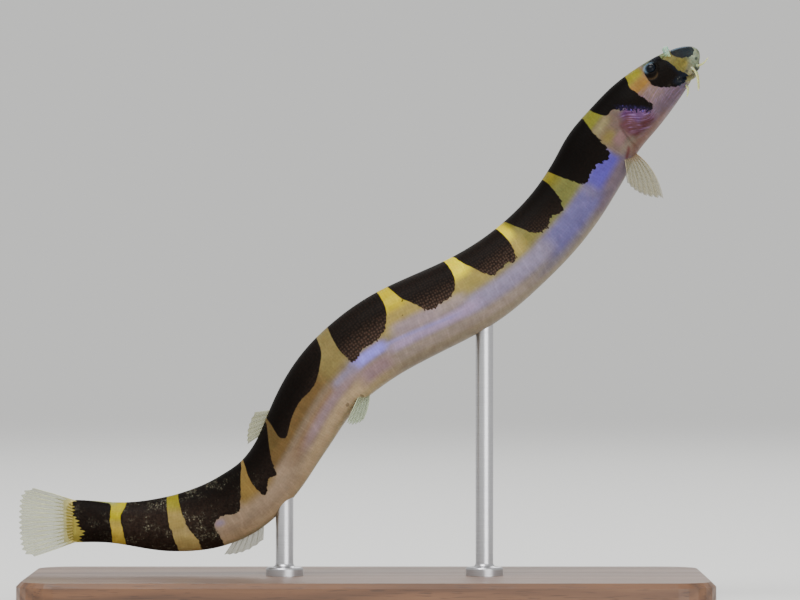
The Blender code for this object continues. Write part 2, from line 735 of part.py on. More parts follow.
def build_rod(name, x, body, finish, parent):
    """A rod on a low foot, its top cut to the belly above it."""
    foot = BASE_SIZE[2] + GAP
    y = float(np.interp(x, SPINE_POINTS[::-1, 0], SPINE_POINTS[::-1, 1]))
    turns = np.linspace(0.0, 2 * math.pi, ROD_SIDES, endpoint=False)
    circle = np.column_stack((np.cos(turns), np.sin(turns), np.zeros(ROD_SIDES)))
    axis = np.array((x, y, 0.0))

    def belly_above(point):
        """Height of the belly over a point, less the gap."""
        hit, normal, _, _ = body.ray_cast(Vector((point[0], point[1], foot)), Vector((0.0, 0.0, 1.0)))
        return hit.z - GAP / abs(normal.z)

    rings = [
        axis + circle * ROD_FOOT_RADIUS + (0.0, 0.0, foot),
        axis + circle * ROD_FOOT_RADIUS + (0.0, 0.0, foot + ROD_FOOT_RIM),
        axis + circle * ROD_RADIUS + (0.0, 0.0, foot + ROD_FOOT_HEIGHT),
    ]
    top = axis + circle * ROD_RADIUS
    top[:, 2] = [belly_above(point) for point in top]
    rings.append(top)
    crown = axis + (0.0, 0.0, belly_above(axis))
    points, faces = closed_sweep(rings, axis + (0.0, 0.0, foot), crown)
    return add_object(name, points, faces, axis + (0.0, 0.0, foot), finish, parent)


def body_tree(lengths):
    """A search tree over the whole body's skin, for what rests against it."""
    points, faces = [], []
    for item in lengths:
        offset = len(points)
        place = item.parent.location + item.location
        points += [vertex.co + place for vertex in item.data.vertices]
        faces += [[index + offset for index in face.vertices] for face in item.data.polygons]
    return BVHTree.FromPolygons(points, faces)


def build():
    """Builds every piece of the fish and of its stand."""
    clear_scene()
    loach = add_empty("loach", Vector(SNOUT_TIP))
    stand = add_empty("stand", Vector((0.0, 0.0, 0.0)))
    flesh = material("banded_skin", (0.60, 0.45, 0.33), 0.35)
    tail_flesh = material("dark_tail_skin", (0.10, 0.07, 0.05), 0.35)
    eye = material("eye", (0.02, 0.03, 0.05), 0.1)
    membrane = material("fin_membrane", (0.62, 0.60, 0.48), 0.4)
    feeler = material("barbel_skin", (0.66, 0.66, 0.52), 0.4)
    wood = material("walnut", (0.16, 0.08, 0.04), 0.45)
    steel = material("steel", (0.62, 0.62, 0.62), 0.3, 1.0)

    build_head(flesh, loach)
    start, lengths = GILL_TOP, []
    for name, end in LENGTHS:
        finish = tail_flesh if name == "tail_rear" else flesh
        lengths.append(build_length(name, start, end, finish, loach))
        start = end
    for side in (1, -1):
        build_eye(side, eye, loach)
        for kind in BARBELS:
            build_barbel(kind, side, feeler, loach)
        for kind in PAIRED_FINS:
            build_paired_fin(kind, side, membrane, loach)
    for name, sizes in MEDIAN_FINS.items():
        build_median_fin(name, sizes, membrane, loach)
    build_tail_fin(membrane, loach)
    build_base(wood, stand)
    tree = body_tree(lengths)
    for name, x in ROD_PLACES.items():
        build_rod(name, x, tree, steel, stand)


build()
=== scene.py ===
"""Looks of the kuhli loach model: its skin, eyes, barbels, fins and stand, and the studio round it.

Sizes inside the classes are in millimetres and angles in degrees unless a name says otherwise. The
fish follows one spine line from the snout to the root of the tail fin. A place on its skin is given
by the distance behind the snout and by the turn round the body, which runs from the middle of the
back, 0, over the right flank to the belly, pi, and is negative on the left flank.
"""

import logging
import math
from dataclasses import dataclass, field
from enum import Enum
from typing import Sequence

import bmesh
import bpy
import numpy as np
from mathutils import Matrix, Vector


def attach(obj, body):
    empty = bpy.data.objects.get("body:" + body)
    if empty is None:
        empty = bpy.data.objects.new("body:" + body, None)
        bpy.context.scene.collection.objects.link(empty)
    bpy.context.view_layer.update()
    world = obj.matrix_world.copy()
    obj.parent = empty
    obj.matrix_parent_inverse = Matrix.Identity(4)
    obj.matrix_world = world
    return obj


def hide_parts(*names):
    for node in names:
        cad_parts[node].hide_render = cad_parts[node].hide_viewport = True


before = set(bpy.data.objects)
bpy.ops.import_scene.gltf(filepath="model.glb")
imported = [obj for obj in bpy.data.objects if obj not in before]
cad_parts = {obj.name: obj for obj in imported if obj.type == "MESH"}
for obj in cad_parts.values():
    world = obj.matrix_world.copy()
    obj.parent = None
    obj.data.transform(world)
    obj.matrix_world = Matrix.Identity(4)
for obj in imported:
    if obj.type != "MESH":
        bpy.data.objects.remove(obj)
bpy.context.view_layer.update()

MM = 0.001
BODY = "root"

Pair = tuple[float, float]
Triple = tuple[float, float, float]
Colour = Triple
Array = np.ndarray
Socket = bpy.types.NodeSocket
Material = bpy.types.Material

log = logging.getLogger("loach")


class Side(Enum):
    """Which flank a paired piece grows from."""

    RIGHT = 1
    LEFT = -1

    @property
    def word(self) -> str:
        """The side's name, as the nodes spell it."""
        return self.name.lower()


class Slot(Enum):
    """Material slots of the record."""

    SKIN = "banded_skin"
    EYE = "eye"
    MEMBRANE = "fin_membrane"
    BARBEL = "barbel_skin"
    WOOD = "walnut"
    STEEL = "steel"


def paint(red: float, green: float, blue: float) -> Colour:
    """A paint's colour in linear light, from what a screen shows.

    Args:
        red: Red, from 0 to 255 as a screen shows it.
        green: Green, likewise.
        blue: Blue, likewise.

    Returns:
        The same colour in linear light.
    """
    shown = np.array((red, green, blue)) / 255.0
    linear = np.where(shown <= 0.04045, shown / 12.92, ((shown + 0.055) / 1.055) ** 2.4)
    return tuple(float(value) for value in linear)


def ease(value: Array | float) -> Array:
    """Smooth step of a value between 0 and 1.

    Args:
        value: The value to ease. It is held to 0 and 1 outside that range.

    Returns:
        The eased value.
    """
    held = np.clip(value, 0.0, 1.0)
    return held * held * (3.0 - 2.0 * held)


def window(value: Array, low: float, high: float, soft: float) -> Array:
    """How far a value lies between two limits, with soft ends.

    Args:
        value: The values to test.
        low: Lower limit.
        high: Upper limit.
        soft: Width over which each end fades.

    Returns:
        1 well inside the limits and 0 well outside them.
    """
    return ease((value - low) / soft + 0.5) * ease((high - value) / soft + 0.5)


def unit(vector: Array) -> Array:
    """The vector at length one."""
    return vector / np.linalg.norm(vector)


def bell(value: Array, width: float) -> Array:
    """A bell curve, 1 where the value is 0 and low beyond the width."""
    return np.exp(-((value / width) ** 2))


def down_from_back(phi: Array) -> Array:
    """Turn down from the back, the same on both flanks."""
    return np.arccos(np.clip(np.cos(phi), -1.0, 1.0))


def full_turn(count: int) -> Array:
    """Angles spread evenly over a full turn."""
    return np.linspace(0.0, 2 * math.pi, count, endpoint=False)


def set_down(name: str, data: bpy.types.ID) -> bpy.types.Object:
    """Puts a new object with this data into the scene."""
    piece = bpy.data.objects.new(name, data)
    bpy.context.scene.collection.objects.link(piece)
    return piece


def add_piece(name: str, points: Array, faces: Sequence[tuple[int, ...]],
              finish: Material) -> bpy.types.Object:
    """Makes a smooth mesh object whose place is in its mesh.

    Args:
        name: Name of the object.
        points: Points in millimetres, in the model's frame.
        faces: Corners of each face.
        finish: Its material.

    Returns:
        The new object, at the origin.
    """
    mesh = bpy.data.meshes.new(name)
    mesh.from_pydata((np.asarray(points) * MM).tolist(), [], faces)
    mesh.validate()
    shaped = bmesh.new()
    shaped.from_mesh(mesh)
    bmesh.ops.recalc_face_normals(shaped, faces=shaped.faces)
    shaped.to_mesh(mesh)
    shaped.free()
    mesh.shade_smooth()
    mesh.materials.append(finish)
    return set_down(name, mesh)


def store(mesh: bpy.types.Mesh, name: str, values: Array, kind: str = "FLOAT", part: str = "value") -> None:
    """Stores an attribute on the points of a mesh.

    Args:
        mesh: The mesh.
        name: Name of the attribute.
        values: What each point gets.
        kind: Blender's type of the attribute.
        part: Blender's name of what a point holds.
    """
    mesh.attributes.new(name, kind, "POINT").data.foreach_set(part, np.asarray(values, float).ravel())


def keep(piece: bpy.types.Object, slot: Slot, *nodes: str) -> None:
    """Ties a finished piece to the model's body and hides the nodes that it stands for.

    Args:
        piece: The finished piece.
        slot: Material slot of the record. Not used.
        nodes: Names of the nodes that it stands for.
    """
    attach(piece, BODY)
    if nodes:
        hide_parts(*nodes)
    log.info("%s: %d faces", piece.name, len(piece.data.polygons))


def ring_faces(rings: int, sides: int) -> list[tuple[int, int, int, int]]:
    """Faces of a stack of closed rings, without its ends.

    Args:
        rings: Number of rings.
        sides: Points in each ring.

    Returns:
        The four corners of each face.
    """
    return [
        (i * sides + j, i * sides + (j + 1) % sides, (i + 1) * sides + (j + 1) % sides, (i + 1) * sides + j)
        for i in range(rings - 1)
        for j in range(sides)
    ]


def closed_stack(rings: Array, first: Array, last: Array) -> tuple[Array, list[tuple[int, ...]]]:
    """Closes a stack of rings with a point before the first ring and one after the last.

    Args:
        rings: Points as rings by sides by coordinates.
        first: The point before the first ring.
        last: The point after the last ring.

    Returns:
        All points, and the faces.
    """
    count, sides = rings.shape[:2]
    points = np.concatenate((rings.reshape(-1, 3), [first, last]))
    faces: list[tuple[int, ...]] = list(ring_faces(count, sides))
    start, end = count * sides, count * sides + 1
    for j in range(sides):
        faces.append((start, (j + 1) % sides, j))
        faces.append((end, (count - 1) * sides + j, (count - 1) * sides + (j + 1) % sides))
    return points, faces


@dataclass(frozen=True)
class Station:
    """One place along the body at which its section is given."""

    distance: float
    heading: float
    rise: float
    drop: float
    half_width: float


@dataclass
class Body:
    """Shape of the fish's body: a spine line and an oval section that changes along it."""

    snout_tip: Triple = (33.8, -1.2, 56.7)
    length: float = 84.4
    sway: float = 7.0
    sway_length: float = 64.0
    slab: float = 0.035
    jowl: float = 0.14
    jowl_end: float = 16.0
    snout_round: float = 9.4
    snout_plain: float = 0.33
    samples: int = 3001
    # Behind the last station the body thins to an edge inside the root of the tail fin
    root_end: float = 1.3
    root_edge: float = 0.12
    # The tail's back and belly narrow to keels
    keel_start: float = 70.0
    keel_length: float = 9.0
    keel_pinch: float = 0.5
    stations: tuple[Station, ...] = (
        Station(0.0, 44.0, 3.00, 2.50, 2.30),
        Station(5.0, 44.5, 3.22, 2.65, 2.45),
        Station(9.0, 45.5, 3.45, 2.90, 2.55),
        Station(12.0, 50.5, 3.55, 3.05, 2.70),
        Station(15.0, 59.0, 3.80, 3.40, 2.80),
        Station(18.0, 58.0, 3.70, 3.45, 2.80),
        Station(22.0, 51.5, 3.65, 3.50, 2.85),
        Station(28.0, 41.0, 3.80, 3.60, 2.95),
        Station(33.5, 31.5, 4.00, 4.00, 3.10),
        Station(38.5, 25.5, 4.20, 4.10, 3.20),
        Station(43.0, 28.5, 4.30, 4.15, 3.20),
        Station(48.0, 40.0, 4.15, 4.05, 3.05),
        Station(52.0, 52.0, 4.05, 3.75, 2.90),
        Station(56.5, 61.5, 3.75, 3.50, 2.70),
        Station(60.0, 59.5, 3.40, 3.20, 2.55),
        Station(63.5, 48.0, 3.30, 3.20, 2.40),
        Station(67.5, 29.5, 3.40, 3.40, 2.20),
        Station(71.0, 15.0, 3.15, 3.35, 1.95),
        Station(75.0, 4.5, 2.65, 2.95, 1.60),
        Station(80.5, -3.0, 2.05, 2.15, 1.10),
        Station(84.4, 1.0, 2.20, 2.15, 0.75),
    )
    places: Array = field(init=False)
    line: Array = field(init=False)

    def __post_init__(self) -> None:
        """Sums the spine line from its headings."""
        self.places = np.linspace(0.0, self.length, self.samples)
        middles = (self.places[1:] + self.places[:-1]) / 2
        steps = -self.forward(middles) * np.diff(self.places)[:, None]
        self.line = np.array(self.snout_tip) + np.concatenate((np.zeros((1, 3)), np.cumsum(steps, axis=0)))

    def value(self, column: str, distance: Array) -> Array:
        """A measure of the stations as a smooth curve along the body.

        Args:
            column: Name of the measure.
            distance: Distances behind the snout.

        Returns:
            The measure there.
        """
        distance = np.minimum(distance, self.length)
        known = np.array([station.distance for station in self.stations])
        values = np.array([getattr(station, column) for station in self.stations])
        slopes = np.gradient(values, known)
        start = np.clip(np.searchsorted(known, distance, side="right") - 1, 0, len(known) - 2)
        span = known[start + 1] - known[start]
        t = (distance - known[start]) / span
        return (
            (2 * t**3 - 3 * t**2 + 1) * values[start]
            + (t**3 - 2 * t**2 + t) * span * slopes[start]
            + (3 * t**2 - 2 * t**3) * values[start + 1]
            + (t**3 - t**2) * span * slopes[start + 1]
        )

    def forward(self, distance: Array) -> Array:
        """Unit vectors towards the head.

        Args:
            distance: Distances behind the snout.

        Returns:
            One vector for each distance.
        """
        pitch = np.radians(self.value("heading", distance))
        swing = 2 * math.pi * np.minimum(distance, self.length) / self.sway_length
        yaw = -math.radians(self.sway) * np.cos(swing)
        return np.stack((np.cos(pitch) * np.cos(yaw), np.sin(yaw), np.sin(pitch) * np.cos(yaw)), -1)

    def axes(self, distance: Array | float) -> tuple[Array, Array, Array, Array]:
        """Spine point and the forward, up and right vectors of the body.

        Args:
            distance: Distances behind the snout.

        Returns:
            Centre, forward, up and right.
        """
        distance = np.asarray(distance, float)
        centre = np.stack([np.interp(distance, self.places, self.line[:, k]) for k in range(3)], -1)
        forward = self.forward(distance)
        centre = centre - forward * np.maximum(distance - self.length, 0.0)[..., None]
        pitch = np.radians(self.value("heading", distance))
        up = np.stack((-np.sin(pitch), np.zeros_like(pitch), np.cos(pitch)), -1)
        return centre, forward, up, np.cross(forward, up)

    def height(self, distance: Array, phi: Array) -> Array:
        """Height of the skin over the spine line, as the side view shows it.

        Args:
            distance: Distances behind the snout.
            phi: Turns round the body.

        Returns:
            Heights, positive towards the back.
        """
        rounding = self.rounding(distance)
        half = np.where(np.cos(phi) > 0, self.value("rise", distance), self.value("drop", distance))
        return half * (1.0 + self.slab * np.sin(2 * phi) ** 2) * np.cos(phi) * rounding

    def rounding(self, distance: Array) -> Array:
        """Share of the full section that the rounded snout has reached."""
        return np.sqrt(1.0 - (1.0 - np.clip(distance / self.snout_round, 0.0, 1.0)) ** 2)

    def surface(self, distance: Array | float, phi: Array | float, relief: Array | float = 0.0) -> Array:
        """Points of the body's surface.

        Args:
            distance: Distances behind the snout.
            phi: Turns round the body.
            relief: Height of the detail over the plain section.

        Returns:
            Points in millimetres.
        """
        distance, phi = np.broadcast_arrays(np.asarray(distance, float), np.asarray(phi, float))
        centre, _, up, right = self.axes(distance)
        rounding = self.rounding(distance)
        jowl = 1.0 - self.jowl * np.cos(phi) * (1.0 - ease(distance / self.jowl_end))
        slab = 1.0 + self.slab * np.sin(2 * phi) ** 2
        keel = self.keel_pinch * ease((distance - self.keel_start) / self.keel_length)
        keel = keel * np.abs(np.cos(phi)) ** 3
        root = 1.0 - (1.0 - self.root_edge) * ease((distance - self.length) / self.root_end)
        across = self.value("half_width", distance) * jowl * slab * (1.0 - keel)
        across = across * root * np.sin(phi) * rounding
        outward = up * np.cos(phi)[..., None] + right * (np.sin(phi) * root)[..., None]
        stand = relief * np.minimum(rounding / self.snout_plain, 1.0)
        height = self.height(distance, phi)
        return centre + right * across[..., None] + up * height[..., None] + outward * stand[..., None]


@dataclass(frozen=True)
class Spot:
    """A place on the skin, by its distance behind the snout and its turn down from the back."""

    distance: float
    turn: float

    def away(self, distance: Array, angle: Array, radius: float, stretch: float = 1.0) -> Array:
        """Distance over the skin from this spot.

        Args:
            distance: Distances behind the snout.
            angle: Turns down from the back, the same on both flanks.
            radius: Radius of the body there.
            stretch: How much longer than high the spot's detail is.

        Returns:
            Distances in millimetres.
        """
        return np.hypot((distance - self.distance) / stretch, (angle - math.radians(self.turn)) * radius)


@dataclass(frozen=True)
class Lobe:
    """A low fleshy swelling that a barbel or fin grows from."""

    spot: Spot
    height: float
    width: float
    stretch: float = 1.0


@dataclass(frozen=True)
class Relief:
    """Detail that stands over the plain section: lips, mouth, nostrils, eye rims, gill covers."""

    head_radius: float = 2.5
    trunk_radius: float = 3.3
    mouth_front: float = 1.65
    mouth_corner: float = 3.0
    mouth_half_angle: float = 56.0
    mouth_ease: float = 2.6
    mouth_bend: Pair = (60.0, 110.0)
    mouth_depth: float = 0.26
    mouth_width: float = 0.11
    mouth_fade: int = 8
    mouth_reach: float = 1.25
    lip_height: float = 0.26
    lip_width: float = 0.30
    lip_spacing: float = 0.44
    lip_fold_height: float = 0.05
    lip_folds: float = 26.0
    eye: Spot = Spot(4.7, 45.0)
    eye_radius: float = 0.5
    eye_rim: float = 0.09
    eye_rim_width: float = 0.16
    eye_bed: float = 0.12
    nostril: Spot = Spot(3.15, 38.0)
    nostril_rim: float = 0.13
    nostril_rim_width: float = 0.32
    nostril_depth: float = 0.42
    nostril_width: float = 0.12
    cover: Spot = Spot(8.9, 104.0)
    cover_height: float = 0.24
    cover_width: float = 1.9
    cover_stretch: float = 1.15
    gill_top: float = 10.4
    gill_bottom: float = 11.7
    gill_slant: Pair = (30.0, 130.0)
    gill_slit: Pair = (92.0, 150.0)
    gill_depth: float = 0.16
    gill_width: float = 0.13
    gill_lip: float = 0.08
    # The groove of the small spine below the eye, an arc round its spot
    groove: Spot = Spot(5.0, 52.0)
    groove_radius: float = 0.75
    groove_depth: float = 0.07
    groove_width: float = 0.07
    lobes: tuple[Lobe, ...] = (
        Lobe(Spot(2.6, 42.0), 0.10, 0.30),
        Lobe(Spot(1.2, 148.0), 0.14, 0.30),
        Lobe(Spot(1.7, 129.0), 0.16, 0.32),
        Lobe(Spot(3.35, 146.0), 0.12, 0.30),
        Lobe(Spot(12.7, 141.0), 0.34, 0.75, 1.2),
        Lobe(Spot(49.7, 151.0), 0.22, 0.70, 1.6),
    )
    groin_start: float = 30.0

    def mouth_line(self, angle: Array) -> Array:
        """Distance behind the snout of the line of the mouth.

        Args:
            angle: Turns down from the back.

        Returns:
            Distances behind the snout.
        """
        share = np.minimum((math.pi - angle) / math.radians(self.mouth_half_angle), self.mouth_reach)
        return self.mouth_front + (self.mouth_corner - self.mouth_front) * share**2

    def gill_line(self, angle: Array) -> Array:
        """Distance behind the snout of the gill opening.

        Args:
            angle: Turns down from the back.

        Returns:
            Distances behind the snout.
        """
        top, bottom = np.radians(self.gill_slant)
        return self.gill_top + (self.gill_bottom - self.gill_top) * ease((angle - top) / (bottom - top))

    def bent_to_mouth(self, distance: Array, angle: Array) -> Array:
        """Bends straight rings of the head so that they run along the lips.

        Args:
            distance: Distances behind the snout of straight rings.
            angle: Turns down from the back.

        Returns:
            The bent distances.
        """
        near = ease(distance / self.mouth_front) * ease(1.0 - (distance - self.mouth_front) / self.mouth_ease)
        half = math.radians(self.mouth_half_angle)
        shift = self.mouth_line(np.maximum(angle, math.pi - half)) - self.mouth_front
        start, end = np.radians(self.mouth_bend)
        return distance + shift * near * ease((angle - start) / (end - start))

    def mouth(self, distance: Array, angle: Array) -> Array:
        """Height of the lips, with the line of the mouth cut between them."""
        past = distance - self.mouth_line(angle)
        inside = 1.0 / (1.0 + ((math.pi - angle) / math.radians(self.mouth_half_angle)) ** self.mouth_fade)
        lips = bell(np.abs(past) - self.lip_spacing, self.lip_width)
        folds = 1.0 - self.lip_fold_height / self.lip_height * (0.5 + 0.5 * np.cos(self.lip_folds * angle))
        cut = bell(past, self.mouth_width)
        return inside * (self.lip_height * lips * folds - self.mouth_depth * cut)

    def face(self, distance: Array, angle: Array) -> Array:
        """Height of the eye rims, nostrils and spine grooves."""
        eye = self.eye.away(distance, angle, self.head_radius)
        height = self.eye_rim * bell(eye - self.eye_radius - self.eye_rim_width, self.eye_rim_width)
        height -= self.eye_bed * ease(1.3 - eye / self.eye_radius)
        nostril = self.nostril.away(distance, angle, self.head_radius)
        height += self.nostril_rim * bell(nostril, self.nostril_rim_width)
        height -= self.nostril_depth * bell(nostril, self.nostril_width)
        groove = self.groove.away(distance, angle, self.head_radius)
        below = ease((angle - math.radians(self.groove.turn)) * 3.0)
        height -= self.groove_depth * below * bell(groove - self.groove_radius, self.groove_width)
        return height

    def gills(self, distance: Array, angle: Array) -> Array:
        """Height of the gill covers and of the slits behind them."""
        cover = self.cover.away(distance, angle, self.head_radius, self.cover_stretch)
        height = self.cover_height * np.exp(-((cover / self.cover_width) ** 4))
        past = distance - self.gill_line(angle)
        top, bottom = np.radians(self.gill_slit)
        open_here = window(angle, top, bottom, 0.35)
        height -= open_here * self.gill_depth * bell(past, self.gill_width)
        height += open_here * self.gill_lip * bell(past + 2 * self.gill_width, 2 * self.gill_width)
        return height

    def roots(self, distance: Array, angle: Array) -> Array:
        """Height of the fleshy lobes under the barbels and paired fins."""
        height = np.zeros_like(distance)
        for lobe in self.lobes:
            radius = self.head_radius if lobe.spot.distance < self.groin_start else self.trunk_radius
            away = lobe.spot.away(distance, angle, radius, lobe.stretch)
            height += lobe.height * bell(away, lobe.width)
        return height

    def at(self, distance: Array | float, phi: Array | float) -> Array:
        """Height of all the detail.

        Args:
            distance: Distances behind the snout.
            phi: Turns round the body.

        Returns:
            Heights in millimetres.
        """
        distance, phi = np.broadcast_arrays(np.asarray(distance, float), np.asarray(phi, float))
        angle = down_from_back(phi)
        height = self.mouth(distance, angle) + self.face(distance, angle)
        return height + self.gills(distance, angle) + self.roots(distance, angle)


@dataclass
class Flesh:
    """The body's surface with its detail, which other pieces are set on."""

    body: Body = field(default_factory=Body)
    relief: Relief = field(default_factory=Relief)

    def skin(self, distance: Array | float, phi: Array | float) -> Array:
        """Points of the skin, detail included."""
        return self.body.surface(distance, phi, self.relief.at(distance, phi))

    def normal(self, distance: float, phi: float) -> Array:
        """Outward unit normal of the plain surface at one place.

        Args:
            distance: Distance behind the snout.
            phi: Turn round the body.

        Returns:
            The normal.
        """
        step, turn = 0.05, 0.02
        along = self.body.surface(distance + step, phi) - self.body.surface(distance - step, phi)
        around = self.body.surface(distance, phi + turn) - self.body.surface(distance, phi - turn)
        normal = unit(np.cross(around, along))
        outward = self.body.surface(distance, phi) - self.body.axes(distance)[0]
        return normal if normal @ outward > 0 else -normal


@dataclass(frozen=True)
class Saddle:
    """One dark marking: its outline by distance behind the snout and height over the spine."""

    outline: tuple[Pair, ...]
    ragged: float = 1.0
    depth: float = 1.0
    roundings: int = 2

    def smooth_outline(self) -> Array:
        """The outline with its corners cut, so that it curves."""
        points = np.array(self.outline)
        for _ in range(self.roundings):
            after = np.roll(points, -1, axis=0)
            points = np.stack((points * 0.75 + after * 0.25, points * 0.25 + after * 0.75), 1).reshape(-1, 2)
        return points

    def inside(self, distance: Array, height: Array) -> Array:
        """Signed distance to the outline.

        Args:
            distance: Distances behind the snout.
            height: Heights over the spine.

        Returns:
            Millimetres inside the outline, negative outside it.
        """
        corners = self.smooth_outline()
        nearest = np.full(distance.shape, 1e3)
        crossings = np.zeros(distance.shape, bool)
        for (ax, ay), (bx, by) in zip(corners, np.roll(corners, -1, axis=0)):
            dx, dy = bx - ax, by - ay
            share = ((distance - ax) * dx + (height - ay) * dy) / (dx * dx + dy * dy + 1e-12)
            share = np.clip(share, 0.0, 1.0)
            nearest = np.minimum(nearest, np.hypot(distance - ax - share * dx, height - ay - share * dy))
            if ay != by:
                spans = (ay > height) != (by > height)
                crossings ^= spans & (distance < ax + (height - ay) / (by - ay) * dx)
        return np.where(crossings, nearest, -nearest)


@dataclass(frozen=True)
class Wash:
    """One soft layer of colour over a part of the body."""

    colour: Colour
    along: Triple
    height: Triple
    strength: float = 1.0
    lean: float = 0.0

    def mask(self, distance: Array, height: Array) -> Array:
        """How strongly the wash covers each place.

        Args:
            distance: Distances behind the snout.
            height: Heights over the spine.

        Returns:
            Cover from 0 to 1.
        """
        level = height - self.lean * (distance - self.along[0])
        return self.strength * window(distance, *self.along) * window(level, *self.height)


OVER_BACK = 6.0
UNDER_BELLY = -6.0


